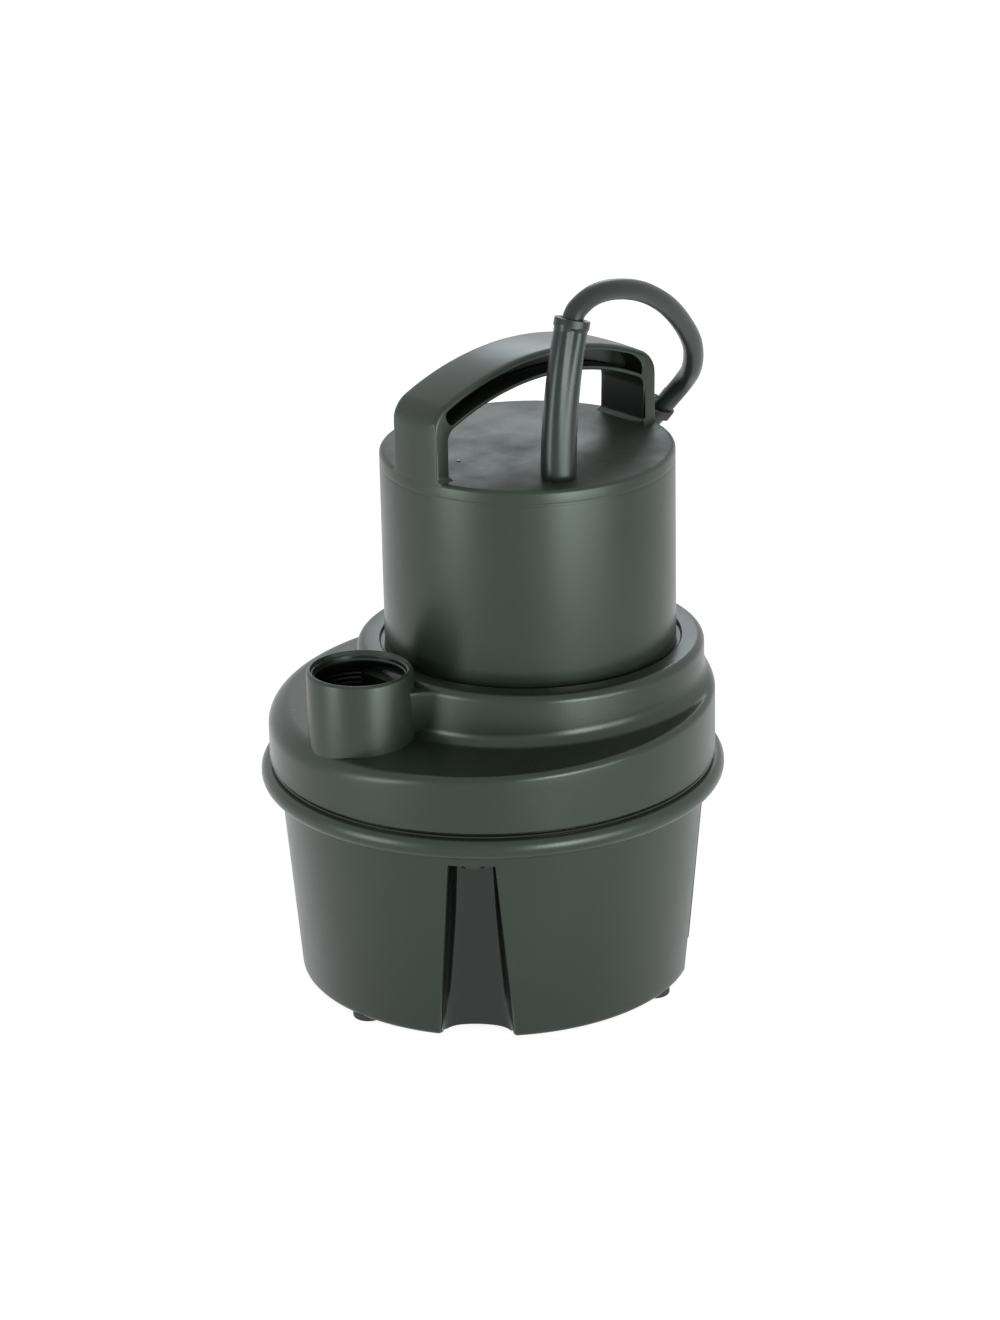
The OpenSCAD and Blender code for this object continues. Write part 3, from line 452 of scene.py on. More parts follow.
# linear colour, then roughness, then what differs from the plain finish
finishes = {
    "housing_plastic": plasticMaterial("housingPlastic", (0.017, 0.024, 0.017), 0.33, scuffs=0.04, dust=0.04,
                                       sheen=(0.87, 1, 0.94, 1)),
    "cord_jacket": jacketMaterial("cordJacket", (0.015, 0.020, 0.018), 0.32, 0.45),
    "sleeve_rubber": plasticMaterial("sleeveRubber", (0.018, 0.024, 0.021), 0.3, peel=900, scuffs=0.15,
                                     dust=0.02, specular=0.36, sheen=(0.87, 1, 0.96, 1)),
    "black_rubber": plasticMaterial("blackRubber", (0.014, 0.015, 0.014), 0.62, peel=1600, scuffs=0.6,
                                    dust=0.3),
    "black_nylon": plasticMaterial("blackNylon", (0.006, 0.006, 0.007), 0.42, peel=1500, scuffs=0.2,
                                   dust=0.05, specular=0.25),
    "screen_plastic": plasticMaterial("screenPlastic", (0.024, 0.027, 0.025), 0.5),
    "bearing_steel": metalMaterial("bearingSteel", (0.55, 0.56, 0.58), 0.16, stretch=(1, 1, 0.3), bump=0.05),
    "stainless": metalMaterial("stainless", (0.52, 0.52, 0.53), 0.28),
    "laminated_steel": metalMaterial("laminatedSteel", (0.22, 0.23, 0.25), 0.42, layers=12566.0),
    "copper_winding": metalMaterial("copperWinding", (0.48, 0.17, 0.07), 0.32, stretch=(0.2, 0.2, 1),
                                    bump=0.5),
    "wire_insulation": plasticMaterial("wireInsulation", (0.45, 0.43, 0.37), 0.35, dust=0.05),
    "plate_aluminium": metalMaterial("plateAluminium", (0.46, 0.48, 0.49), 0.5, stretch=(1, 1, 1), scale=700,
                                     bump=0.4),
    "seal_ceramic": plasticMaterial("sealCeramic", (0.72, 0.69, 0.62), 0.16, scuffs=0.1, dust=0.02,
                                    bump=0.03),
    "seal_carbon": plasticMaterial("sealCarbon", (0.018, 0.018, 0.020), 0.45),
    "impeller_plastic": plasticMaterial("impellerPlastic", (0.10, 0.075, 0.035), 0.45),
    "plug_brass": metalMaterial("plugBrass", (0.62, 0.42, 0.15), 0.22),
}
print("materials made")


# distance and aim height in mm, azimuth in degrees, down and roll in radians, focal length and centre in
# pixels of the image, sensor in mm, clip in metres
camera = {
    "distance": 1800, "aim": 120, "down": 0.379, "azimuth": -41, "roll": -0.018,
    "focal": 4056.35, "centre": (531.83, 702.48), "image": (1000, 1320), "sensor": 36,
    "clip": (0.05, 50),
}


def makeCamera(values):
    # a pinhole on a sphere about the motor axis, the picture's centre set by the lens shift
    azimuth = math.radians(values["azimuth"])
    right = Vector((math.cos(azimuth), math.sin(azimuth), 0))
    away = Vector((-math.sin(azimuth), math.cos(azimuth), 0))
    aim = Vector((*pump["axis"], values["aim"])) * mm
    down = values["down"]
    look = away * math.cos(down) - Vector((0, 0, math.sin(down)))
    place = aim - look * values["distance"] * mm
    up = right.cross(look)
    turnBack = Matrix((right, up, -look)).transposed() @ Matrix.Rotation(values["roll"], 3, "Z")
    data = bpy.data.cameras.new("camera")
    data.sensor_width = values["sensor"]
    wide, high = values["image"]
    data.lens = values["focal"] * values["sensor"] / high
    data.shift_x = -(values["centre"][0] - wide / 2) / high
    data.shift_y = (values["centre"][1] - high / 2) / high
    data.clip_start, data.clip_end = values["clip"]
    eye = added("camera", data)
    eye.matrix_world = Matrix.Translation(place) @ turnBack.to_4x4()
    bpy.context.scene.camera = eye
    return right, away


right, away = makeCamera(camera)
print("camera made")

# the cord: loop heights count from the cap, drop heights from the floor
cord = {
    "sides": 16, "fine": 8, "length": 2.96, "diameter": 9, "mapLong": 30, "hidden": (20, 8.4),
    "gland": (0, -47), "bend": 257, "bendAngle": 15.2,
    "loop": [[14.5, -47.1, 73], [23.5, -47.2, 75.8], [35.5, -46.8, 75], [50, -45.6, 70.6], [65, -43.2, 62],
             [79, -39, 50], [91, -33, 36.5], [99, -24.5, 23], [103, -14.5, 12.5], [98, -5, -1], [94, 3, -13],
             [94, 13, -34], [96, 23, -56], [98, 32, -82], [99.5, 39, -110], [100, 43, -142]],
    "drop": [[100, 44, 70], [99.4, 44.6, 42], [95.8, 48.2, 24], [86.4, 57.4, 11]],
    "coilMiddle": (111, 132), "coilOut": 71.5, "coilPitch": 9.9, "coilZ": 6, "coilRise": 9.7,
    "coilTurns": 3.5, "coilClimb": 0.4, "coilStart": 225, "coilRings": 40, "tail": 33,
}


def smoothRoute(points, fine):
    # Catmull-Rom through all points but the first and last, fine steps to each stretch
    p = np.array(points, float)
    p0, p1, p2, p3 = (p[i:len(p) - 3 + i, None] for i in range(4))
    t = (np.arange(fine) / fine)[None, :, None]
    run = 0.5 * (2 * p1 + (p2 - p0) * t + (2 * p0 - 5 * p1 + 4 * p2 - p3) * t ** 2
                 + (3 * p1 - p0 - 3 * p2 + p3) * t ** 3)
    return np.concatenate([run.reshape(-1, 3), p[-2:-1]])


def sleeveArc(count):
    # the sleeve's middle line: an arc that leaves the cap straight up and leans along X
    a = np.radians(np.linspace(0, cord["bendAngle"], count))
    foot = np.array([*cord["gland"], pump["capZ"]])
    return foot + joined(cord["bend"] * (1 - np.cos(a)), 0, cord["bend"] * np.sin(a))


def coilPath(values):
    # a flat spiral in, a step up, and the same spiral out on top: radius and height follow the turns u
    turns, rings, climb = values["coilTurns"], values["coilRings"], values["coilClimb"]
    u = np.linspace(0, 2 * turns, int(2 * turns * rings) + 1)
    r = values["coilOut"] - values["coilPitch"] * np.minimum(u, 2 * turns - u)
    z = values["coilZ"] + values["coilRise"] * eased(np.clip((u - turns + climb / 2) / climb, 0, 1))
    a = np.radians(values["coilStart"] - 360 * u)
    mx, my = values["coilMiddle"]
    return joined(mx + r * np.cos(a), my + r * np.sin(a), z)


def cordPath(values):
    # from inside the cap up the sleeve, round the loop, down the leg to the floor, and into the coil
    sleeve = sleeveArc(5)
    below = [sleeve[0] - [0, 0, depth] for depth in values["hidden"]]
    loop = np.array(values["loop"], float) + [0, 0, pump["capZ"]]
    coil = coilPath(values)
    heading = math.radians(values["coilStart"])
    inward = np.array([math.sin(heading), -math.cos(heading), 0])
    lead = coil[0] - inward * values["diameter"]
    points = np.concatenate([below, sleeve, loop, values["drop"], [lead, coil[0]]])
    outward = coil[-1] - coil[-2]
    outward /= np.linalg.norm(outward)
    tail = coil[-1] + outward * np.linspace(values["diameter"] / 2, values["tail"], 6)[:, None]
    return np.concatenate([smoothRoute(points, values["fine"]), coil, tail]), outward


route, plugAim = cordPath(cord)
print("cord length", round(float(runLength(route)[-1]), 1))


def makeCord(values):
    # a circle carried along the route; its map counts turns across and length along
    a = np.linspace(0, turn, values["sides"] + 1)
    ring = values["diameter"] / 2 * joined(np.cos(a), np.sin(a))
    s = runLength(route)
    s = np.concatenate([s[:1], s, s[-1:]])
    uv = joined(a / turn, s[:, None] / values["mapLong"])
    grid = withEnds(sweepGrid(route, ring))
    return makePiece("powerCord", [(grid, False, False)], finishes["cord_jacket"], 60, uv)


powerCord = standIn(makeCord(cord), "cord_jacket", "power_cord", "cord_coil")

# the strain relief: heights along it are shares of its length; the mouth is (share inward, rise) from the
# outer edge of the top to the bore
sleeve = {
    "topR": 7.15, "footR": 7.8, "grooveTurn": 11, "grooveWide": 24, "grooveTop": 1.5, "grooveFoot": 0.45,
    "lip": 0.55, "lipFrom": 0.94, "lipRamp": 0.012, "nip": 0.5, "nipTo": 0.03, "boreGap": 0.3,
    "mouth": [(0.12, 0.12), (0.5, 0.12), (0.8, -0.1), (1, -0.9), (1, -6)], "around": 96, "steps": 64,
    "narrowing": 0.7, "grooveGrowth": 1.5, "lipFill": 0.7,
}


def makeSleeve(values):
    # a tube on the sleeve's arc, narrowing upward; a soft groove front and back fades toward the foot
    steps, around = values["steps"], values["around"]
    line = sleeveArc(steps)
    phi = np.linspace(0, turn, around, endpoint=False)
    facing = math.atan2(-away.y, -away.x) + math.radians(values["grooveTurn"])
    off = np.degrees(np.abs(np.mod(phi - facing + np.pi / 2, np.pi) - np.pi / 2))
    dip = np.exp(-(off / values["grooveWide"]) ** 2)
    up = np.linspace(0, 1, steps)[:, None]
    depth = values["grooveTop"] - values["grooveFoot"]
    depth = values["grooveFoot"] + depth * up ** values["grooveGrowth"]
    lip = np.clip((up - values["lipFrom"]) / values["lipRamp"], 0, 1)
    nip = np.clip(1 - up / values["nipTo"], 0, 1) ** 2
    r = values["footR"] + (values["topR"] - values["footR"]) * up ** values["narrowing"]
    r = r - depth * dip * (1 - values["lipFill"] * lip) + values["lip"] * lip - values["nip"] * nip
    outer = sweepGrid(line, joined(r * np.cos(phi), r * np.sin(phi)))
    middle, edge, rise = line[-1], outer[-1:], line[-1] - line[-2]
    side = (edge - middle) / np.linalg.norm(edge - middle, axis=-1, keepdims=True)
    bore = middle + side * (pump["cordR"] + values["boreGap"])
    mouth = [edge + (bore - edge) * inward + rise * up for inward, up in values["mouth"]]
    bottom = np.repeat(line[:1, None], around, 1)
    grid = np.concatenate([bottom, outer] + mouth)
    return makePiece("cordSleeve", [openEnds(grid)], finishes["sleeve_rubber"], 50)


standIn(makeSleeve(sleeve), "sleeve_rubber", "cord_sleeve")

# the motor housing: heights of the handle count from the cap, its lengths along the arch from its middle;
# line, mark and nub are rows of outward, rise and rounding
housing = {
    "capRound": 1.8, "around": 256, "lineDown": 6,
    "line": [(0, 1.2, 0), (0, 0.5, 0.3), (-0.1, 0.2, 0.3), (-0.1, -0.8, 0.3), (0, -1.1, 0.3), (0, -1.8, 0)],
    "handleH": 45.6, "archR": 135, "gripT": 12, "legT": 8.5, "width": 28, "round": 13, "roundIn": 6,
    "legFrom": -2.4, "legSteps": (36, 34, 110),
    "flange": (2.7, 2.0), "slotDepth": 11, "slotRound": 0.6, "slotLip": 0.5, "tip": 11, "slotEnd": 56.5,
    "edge": 2.0, "edgeIn": 1.2, "footFlare": 2.2, "crown": 0.5, "tipPower": 2, "roundPower": 2.6,
    "sunkZ": -1.7, "sunkIn": 0.2,
    "tieAt": (98, -5, -1), "tieDir": (-11, 15, -26), "tieTurn": -59,
    "tieReach": 6.6, "barR": 1.6, "barHalf": 7, "webLong": 9, "webIn": 1.4, "webT": 3,
    "markAt": (35.7, -45.1), "markR": 7.65, "nubAt": (-16.6, -0.8),
    "mark": [(-0.45, -0.3, 0), (-0.3, 0.14, 0.12), (0.3, 0.14, 0.12), (0.45, -0.3, 0)],
    "nub": [(0, 0.35, 0), (0.9, 0.35, 0.3), (1.3, -0.3, 0), (0, -0.3, 0)],
}


def archLine(radius, half, corner, low, counts):
    # leg, corner arc, arch, corner arc, leg, with the same number of points on each stretch
    leg, bend, arch = counts
    cz = housing["handleH"] - housing["archR"]
    kx = half - corner
    kz = cz + math.sqrt((radius - corner) ** 2 - kx ** 2)
    tilt = math.atan2(kz - cz, kx)
    z = np.linspace(low, kz, leg, endpoint=False)
    a = np.linspace(0, tilt, bend, endpoint=False)
    b = np.linspace(tilt, np.pi / 2, arch)
    side = np.concatenate([joined(half, z), joined(kx + corner * np.cos(a), kz + corner * np.sin(a)),
                           joined(radius * np.cos(b), cz + radius * np.sin(b))])
    return np.concatenate([side, (side * [-1, 1])[-2::-1]])


def slotShape(middle, span, values):
    # half the slot's height and its middle's depth along the handle: a pointed end on the left, a round one
    # on the right, each a power curve over its own length
    s = runLength(middle)
    s -= s[len(s) // 2]
    order = np.argsort(middle[:, 0])
    reach = np.interp(values["slotEnd"], middle[order, 0], np.abs(s[order]))
    upper, lower = values["flange"]
    tall = (values["gripT"] - upper - lower) / 2
    left = s < 0
    length = np.where(left, values["tip"], tall)
    past = np.clip((np.abs(s) - (reach - length)) / length, 0, 1)
    power = np.where(left, values["tipPower"], values["roundPower"])
    h = (tall * (1 - past ** power) ** (1 / power))[:, None]
    return h, span / 2 + (upper - lower) / 2 + np.where(left[:, None], tall - h, 0), tall


def handleSection(h, mid, tall, span, values):
    # half of an I section, from the middle of its outer face round the slot to the middle of its inner face,
    # as (aside, depth) columns, then mirrored
    hw, ro, ri = values["width"] / 2, values["edge"], values["edgeIn"]
    isOpen = np.clip(h, 0, 1)
    lip, deep, ease = values["slotLip"] * h / tall, values["slotDepth"] * isOpen, values["slotRound"] * isOpen
    a, q = np.radians([0, 18, 36, 54, 72, 90]), np.radians([0, 45, 90])
    one = np.ones_like(h)
    w = [0 * one, 0.4 * hw * one, 0.75 * hw * one] + [(hw - ro + ro * math.sin(x)) * one for x in a]
    c = [0 * one, 0 * one, 0 * one] + [(ro - ro * math.cos(x)) * one for x in a]
    w += [hw - lip + lip * math.cos(x) for x in q]
    c += [mid - h - lip + lip * math.sin(x) for x in q]
    w += [hw - deep + ease, hw - deep, hw - deep, hw - deep + ease]
    c += [mid - h, mid - h + ease, mid + h - ease, mid + h]
    w += [hw - lip + lip * math.cos(x) for x in q[::-1]]
    c += [mid + h + lip - lip * math.sin(x) for x in q[::-1]]
    w += [(hw - ri + ri * math.cos(x)) * one for x in a] + [0.6 * hw * one, 0 * one]
    c += [span - ri + ri * math.sin(x) for x in a] + [span, span]
    w, c = np.concatenate(w, 1), np.concatenate(c, 1)
    return np.concatenate([w, -w[:, -2:0:-1]], 1), np.concatenate([c, c[:, -2:0:-1]], 1)


def handleGrid(values):
    # the section carried along the arch, crowned on top, flared where the legs meet the cap, cut to the
    # motor's own radius and a little inside it where the legs end in the wall
    archR, legR, low, counts = values["archR"], pump["motorR"], values["legFrom"], values["legSteps"]
    outer = archLine(archR, legR, values["round"], low, counts)
    inner = archLine(archR - values["gripT"], legR - values["legT"], values["roundIn"], low, counts)
    span = np.linalg.norm(inner - outer, axis=1)[:, None]
    h, mid, tall = slotShape((outer + inner) / 2, span, values)
    w, c = handleSection(h, mid, tall, span, values)
    hw, f = values["width"] / 2, values["footFlare"]
    share = c / span
    c = c + values["crown"] * (w / hw) ** 2 * (1 - share)
    across = (inner - outer) / span
    x = outer[:, :1] + across[:, :1] * c
    z = outer[:, 1:] + across[:, 1:] * c
    grow = np.where(z < 0, f, hollowFillet(z, f))
    y = w + grow * w / hw
    x = x - np.sign(x) * grow * share
    limit = pump["motorR"] - values["sunkIn"] * np.clip((values["sunkZ"] - z) / 0.3, 0, 1)
    edge = np.sqrt(np.clip(limit ** 2 - y ** 2, 0, None))
    x = np.clip(x, -edge, edge)
    return withEnds(joined(x, y, z) + [*pump["axis"], pump["capZ"]])


def tieMatrix(values):
    # the tie's own frame: turned onto the cord's direction, then about it
    d = np.array(values["tieDir"], float)
    d /= np.linalg.norm(d)
    lean, swing, twist = math.acos(d[2]), math.atan2(d[1], d[0]), math.radians(values["tieTurn"])
    m = Matrix.Rotation(swing, 3, "Z") @ Matrix.Rotation(lean, 3, "Y") @ Matrix.Rotation(twist, 3, "Z")
    x, y, z = values["tieAt"]
    return np.array(m), np.array([x, y, z + pump["capZ"]])


def shellGrid(values):
    # cap, wall and the inside, turned about the motor axis; a shallow mould line runs under the cap, with a
    # plain row on each side of it that keeps the wall's shading straight
    wallR, seat, cap, wall = (pump[key] for key in ("motorR", "seatZ", "capZ", "wall"))
    outside = [(0, cap, 0), (wallR, cap, values["capRound"])]
    outside += shifted(values["line"], wallR, cap - values["lineDown"]) + [(wallR, seat, 0.5)]
    inside = [(wallR - wall, seat, 0), (wallR - wall, cap - wall - 1, 1), (0, cap - wall - 1, 0)]
    return latheGrid(roundedPath(outside + inside), pump["axis"], values["around"])


def tieEye(values):
    # a round bar between two webs, in the tie's frame
    matrix, origin = tieMatrix(values)
    barR, half, webT = values["barR"], values["barHalf"], values["webT"]
    barX = -values["tieReach"] - pump["cordR"] + barR
    bar = roundedPath([(0, -half, 0), (barR, -half, 0.5), (barR, half, 0.5), (0, half, 0)])
    web = roundedBox((values["webLong"] + values["webIn"], 2 * barR, webT), 0.6)
    grids = [latheGrid(bar, (barX, 0), 24)]
    grids += [web + [barX - values["webLong"] / 2, 0, side * (half - webT / 2)] for side in (-1, 1)]
    return [openEnds(placed(grid, matrix, origin)) for grid in grids]


def mouldMarks(values):
    # on the cap, a thin raised ring and a small nub, both turned profiles
    mark = roundedPath(shifted(values["mark"], values["markR"], pump["capZ"]), 4)
    nub = roundedPath(shifted(values["nub"], 0, pump["capZ"]), 4)
    return [closedRing(latheGrid(mark, values["markAt"], 96)), openEnds(latheGrid(nub, values["nubAt"], 24))]


def makeHousing(values):
    # shell, handle, eye and moulding marks in one piece
    cap, axisX, axisY = pump["capZ"], *pump["axis"]
    parts = [openEnds(shellGrid(values)), openEnds(handleGrid(values))] + tieEye(values) + mouldMarks(values)

    def shadeMask(x, y, z):
        # painted shade: near black inside the slots of the grip, and darker on the inner face of the right
        # leg
        along = np.abs(x - axisX)
        r = np.hypot(along, z - cap - values["handleH"] + values["archR"])
        deep = np.clip((values["width"] / 2 - np.abs(y - axisY) - 2) / 4, 0, 1)
        deep = deep * np.clip((values["slotEnd"] - 2 - along) / 6, 0, 1)
        inGrip = (r < values["archR"] - 1.5) * (r > values["archR"] - values["gripT"] + 1.2) * (z > cap + 5)
        leg = (x - axisX > 50) * (along < pump["motorR"] - values["legT"] + 0.8) * (z > cap + 0.5)
        return np.maximum(deep * inGrip, 0.8 * leg * np.clip((cap + 36 - z) / 8, 0, 1))

    def worn(*spot):
        # the flat of the cap
        return np.where(np.abs(spot[2] - cap) < 0.2, 1.0, 0.0)

    return makePiece("motorHousing", parts, finishes["housing_plastic"], 42,
                     shares={"paintedShade": shadeMask, "worn": worn})


standIn(makeHousing(housing), "housing_plastic", "motor_housing")

# the pump body: directions in degrees about the base's axis; skirt and beadGroove are (radius, height) rows,
# mouth is (radius, rise over the port's top, rounding), rows count what lies between two edges
body = {
    "around": 576, "skirt": [(95, 96), (95.5, 95.7), (95.7, 93.8)],
    "beadMid": (98.9, 97.2), "beadHalf": (3.6, 4.5), "beadArc": (-118, 76, 20),
    "beadGroove": [(98.6, 101.55), (97.7, 101.7), (97.3, 102.2), (97.4, 102.9), (97.9, 103.4), (98.5, 104.1)],
    "shelfDir": 348, "shelfSlope": 2.4, "shelfMid": 0.9, "rimRound": 3.0, "shoulder": 9.0, "shoulderDir": 115,
    "wallFillet": 5.0, "wallFilletWide": 6.0, "wideDir": 305,
    "tierRound": 3.6, "motorGroove": 2.0, "coreR": 50, "coreZ": 142, "shaftR": 20,
    "neckPort": 19, "neckTier": 27.5, "neckTop": 20.5, "neckDraft": 6, "neckRound": 1.0, "neckEnd": -52,
    "neckInto": 22, "neckCurve": 1.8, "neckFoot": (0.3, 0.7, 4), "neckRows": (7, 16), "neckCols": (44, 24),
    "mouth": [(21.6, 0, 0.5), (21.0, -1.6, 0.3), (20.3, -1.9, 0.3), (20.1, -3.4, 0.3), (19.5, -3.8, 0.2),
              (19.4, -5, 0)],
    "rimBevel": 1.6, "throatR": 17, "boreR": 19.4, "boreZ": 140, "portFloor": 3.5, "portClear": 20.5,
    "threadPitch": 2.2, "threadDeep": 0.35, "threadFrom": 6.5, "ductR": 10.5, "ductZ": 132, "ductLong": 26,
    "wallShares": (0.3, 0.6, 0.85, 1), "into": 0.5, "edgeRows": 12, "shelfRows": 31, "filletRows": 14,
    "portAround": 192, "threadRows": 100, "throatRows": 70,
}


def facingShare(theta, direction, low, high):
    # how far a direction looks the given way, nought to one, eased between low and high
    share = 0.5 + 0.5 * np.cos(theta - math.radians(direction))
    return eased(np.clip((share - low) / (high - low), 0, 1))


def rimRadius(theta, values):
    # the upper edge is tight at the front and a broad shoulder behind the port
    share = facingShare(theta, values["shoulderDir"], 0.35, 0.85)
    return values["rimRound"] + (values["shoulder"] - values["rimRound"]) * share


def tierFillet(theta, values):
    # the fillet at the tier's foot is wider at the front right
    share = facingShare(theta, values["wideDir"], 0.55, 0.95)
    return values["wallFillet"] + (values["wallFilletWide"] - values["wallFillet"]) * share


def shelfHeight(x, y, values):
    # a gently sloped plane, less the quarter round at its edge, plus a hollow fillet at the tier
    r, theta = np.hypot(x, y), np.arctan2(y, x)
    slope = math.tan(math.radians(values["shelfSlope"]))
    aim = math.radians(values["shelfDir"])
    plane = pump["ledgeZ"] + values["shelfMid"] + slope * (x * math.cos(aim) + y * math.sin(aim))
    f = rimRadius(theta, values)
    inward = np.clip(pump["drumR"] - r, 0, f)
    top = plane - (f - np.sqrt(np.clip(f ** 2 - (f - inward) ** 2, 0, None)))
    tier = np.hypot(x - pump["axis"][0], y - pump["axis"][1]) - pump["tierR"]
    return top + hollowFillet(tier, tierFillet(theta, values))


def lowerStepGrid(values):
    # for each direction a closed outline: skirt, bead, groove, wall, rounded edge, shelf inward to the tier's
    # fillet, and back inside; the shelf drops to the ceiling inside the port
    theta = np.linspace(0, turn, values["around"], endpoint=False)
    c, s = np.cos(theta), np.sin(theta)
    ax, ay = pump["axis"]
    along, aside = ax * c + ay * s, ax * s - ay * c
    drumR = pump["drumR"]

    def beside(gap):
        # radius of the point that far outside the tier's wall
        return along + np.sqrt((pump["tierR"] + gap) ** 2 - aside ** 2)

    def onShelf(r):
        # the shelf's row at that radius
        return r, shelfHeight(r * c, r * s, values)

    (beadR, beadZ), (wide, high) = values["beadMid"], values["beadHalf"]
    start, end, count = values["beadArc"]
    bead = [(beadR + wide * math.cos(a), beadZ + high * math.sin(a))
            for a in np.radians(np.linspace(start, end, count))]
    rows = [*values["skirt"], *bead, *values["beadGroove"]]
    wallFoot = values["beadGroove"][-1][1]
    wallTop = shelfHeight(drumR * c, drumR * s, values)
    rows += [(drumR, wallFoot + (wallTop - wallFoot) * k) for k in values["wallShares"]]
    f = np.minimum(rimRadius(theta, values), drumR - beside(0) - 0.3)
    bend = np.linspace(0, np.pi / 2, values["edgeRows"] + 1)[1:]
    rows += [onShelf(drumR - f * (1 - math.cos(a))) for a in bend]
    first = drumR - f
    gap = np.hypot(first * c - ax, first * s - ay) - pump["tierR"]
    fillet = tierFillet(theta, values)
    arc = np.arccos(1 - np.clip(gap / fillet, 0, 1))
    foot = beside(fillet * (1 - np.cos(arc)))
    flat, curve = (np.linspace(0, 1, values[key] + 1)[1:] for key in ("shelfRows", "filletRows"))
    rows += [onShelf(first + (foot - first) * k) for k in flat]
    rows += [onShelf(beside(fillet * (1 - np.cos(arc * (1 - k))))) for k in curve]
    inner, ceiling = beside(-values["into"]), pump["ceilingZ"]
    rows += [(inner, rows[-1][1]), (inner, ceiling), (pump["skirtR"], ceiling)]
    r, z = (np.array([row[k] + 0 * theta for row in rows]) for k in (0, 1))
    inPort = np.hypot(r * c - pump["port"][0], r * s - pump["port"][1]) < values["portClear"]
    return joined(r * c, r * s, np.where(inPort, ceiling, z))


def portGrid(values):
    # outer wall with a bevelled rim, stepped mouth, thread ridges as a function of height and direction, and
    # the throat, whose points move out where the duct's circle meets it
    top, low, floor = pump["portZ"], pump["ceilingZ"], pump["ceilingZ"] + values["portFloor"]
    wallR, boreZ, throatR = pump["portR"], values["boreZ"], values["throatR"]
    mouth = shifted(values["mouth"], 0, top)
    outside = roundedPath([(0, low, 0), (wallR, low, 0), (wallR, top, values["rimBevel"])] + mouth, 4)
    outer = latheGrid(outside, pump["port"], values["portAround"])
    a = np.linspace(0, turn, values["portAround"], endpoint=False)
    z = np.linspace(mouth[-1][1] - 0.2, boreZ, values["threadRows"])
    wave = np.mod(z[:, None] / values["threadPitch"] - a / turn, 1)
    ridge = 1 - np.abs(2 * wave - 1)
    fade = np.clip((top - values["threadFrom"] - z) / 3, 0, 1) * np.clip((z - boreZ) / 2, 0, 1)
    r = values["boreR"] + values["threadDeep"] * ridge * fade[:, None]
    px, py = pump["port"]
    thread = joined(px + r * np.cos(a), py + r * np.sin(a), z[:, None])
    tz = np.linspace(boreZ, floor, values["throatRows"])[:, None]
    across = throatR * np.sin(a)
    inDuct = np.clip((values["ductR"] - np.hypot(across, tz - values["ductZ"])) / 0.8 + 0.5, 0, 1)
    inDuct = inDuct * (np.cos(a) > 0)
    tr = throatR + values["ductLong"] * eased(inDuct)
    throat = joined(px + tr * np.cos(a), py + across * np.where(inDuct > 0, 1, tr / throatR), tz)
    return np.concatenate([outer, thread, throat, joined(px, py, floor + 0 * a)[None]])


def neckHalf(x, values):
    # half the neck's width at its top: even beside the port, then a hollow curve out to the tier
    start = pump["port"][0] + 6
    share = np.clip((x - start) / (values["neckEnd"] - start), 0, 1)
    return values["neckPort"] + (values["neckTier"] - values["neckPort"]) * share ** values["neckCurve"]


def neckGrid(values):
    # a block between port and tier: its half width grows toward the tier and shrinks toward its foot;
    # where it would enter the bore its points are pushed out into the port's wall
    px, py = pump["port"]
    top, low = pump["ledgeZ"] + values["neckTop"], pump["ceilingZ"] + 1
    e = values["neckRound"]
    bend, down = values["neckRows"]
    a = np.radians(np.linspace(90, 0, bend))
    z = np.concatenate([top - e + e * np.sin(a), np.linspace(top - e, pump["ledgeZ"] - 1, down)[1:], [low]])
    inset = np.concatenate([e - e * np.cos(a), np.zeros(down)])
    k = np.clip((top - z) / (top - pump["ledgeZ"]), 0, 1.1)
    along, aside = values["neckCols"]
    x = np.linspace(px + 0.5, values["neckEnd"] + 4, along)[:, None]
    even, late, power = values["neckFoot"]
    half = neckHalf(x, values) - inset - values["neckDraft"] * (even * k + late * k ** power)
    share = np.linspace(-1, 1, aside + 2)[1:-1]
    y = np.concatenate([-half[:, ::-1], half[:, :1] * share, half, -half[:, -1:] * share], 1)
    z = np.concatenate([z[::-1], top + 0 * share, z, low + 0 * share]) + 0 * y
    x = x - px + 0 * y
    out = np.maximum(1, values["neckInto"] / np.hypot(x, y))
    grid = withEnds(joined(px + x * out, py + y * out, z))
    grid[0] = joined(*grid[1, :, :2].T, (top + low) / 2)
    return grid


def makeBody(values):
    # the upper step is a turned profile with a groove round the motor; the other parts are grids
    outerR, top, seat, low = pump["tierR"], pump["tierZ"], pump["seatZ"], pump["ceilingZ"]
    over = pump["motorR"] + values["motorGroove"]
    core, coreZ, shaft = values["coreR"], values["coreZ"], values["shaftR"]
    tier = roundedPath([(core, low, 0), (core, coreZ, 0), (shaft, coreZ, 0), (shaft, seat, 0),
                        (over, seat, 0.3), (over, top, 0.8), (outerR, top, values["tierRound"]),
                        (outerR, low, 0)], 8)
    parts = [closedRing(lowerStepGrid(values)), closedRing(latheGrid(tier, pump["axis"], 256)),
             openEnds(portGrid(values)), openEnds(neckGrid(values))]

    def shadeMask(x, y, z):
        # painted shade: dark inside the port below its rim, in the ring round the motor and in the groove
        # over the bead
        inPort = np.hypot(x - pump["port"][0], y - pump["port"][1]) < values["portClear"] + 0.1
        bore = inPort * np.clip((pump["portZ"] - 1.5 - z) / 3, 0, 1)
        ring = (np.hypot(x - pump["axis"][0], y - pump["axis"][1]) < over + 0.2) * (z < top - 0.5)
        groove = (np.hypot(x, y) < 98.2) * (z > 101.4) * (z < 103.2)
        return np.maximum(bore, np.maximum(ring, groove))

    return makePiece("pumpBody", parts, finishes["housing_plastic"], 40, shares={"paintedShade": shadeMask})


standIn(makeBody(body), "housing_plastic", "pump_body")

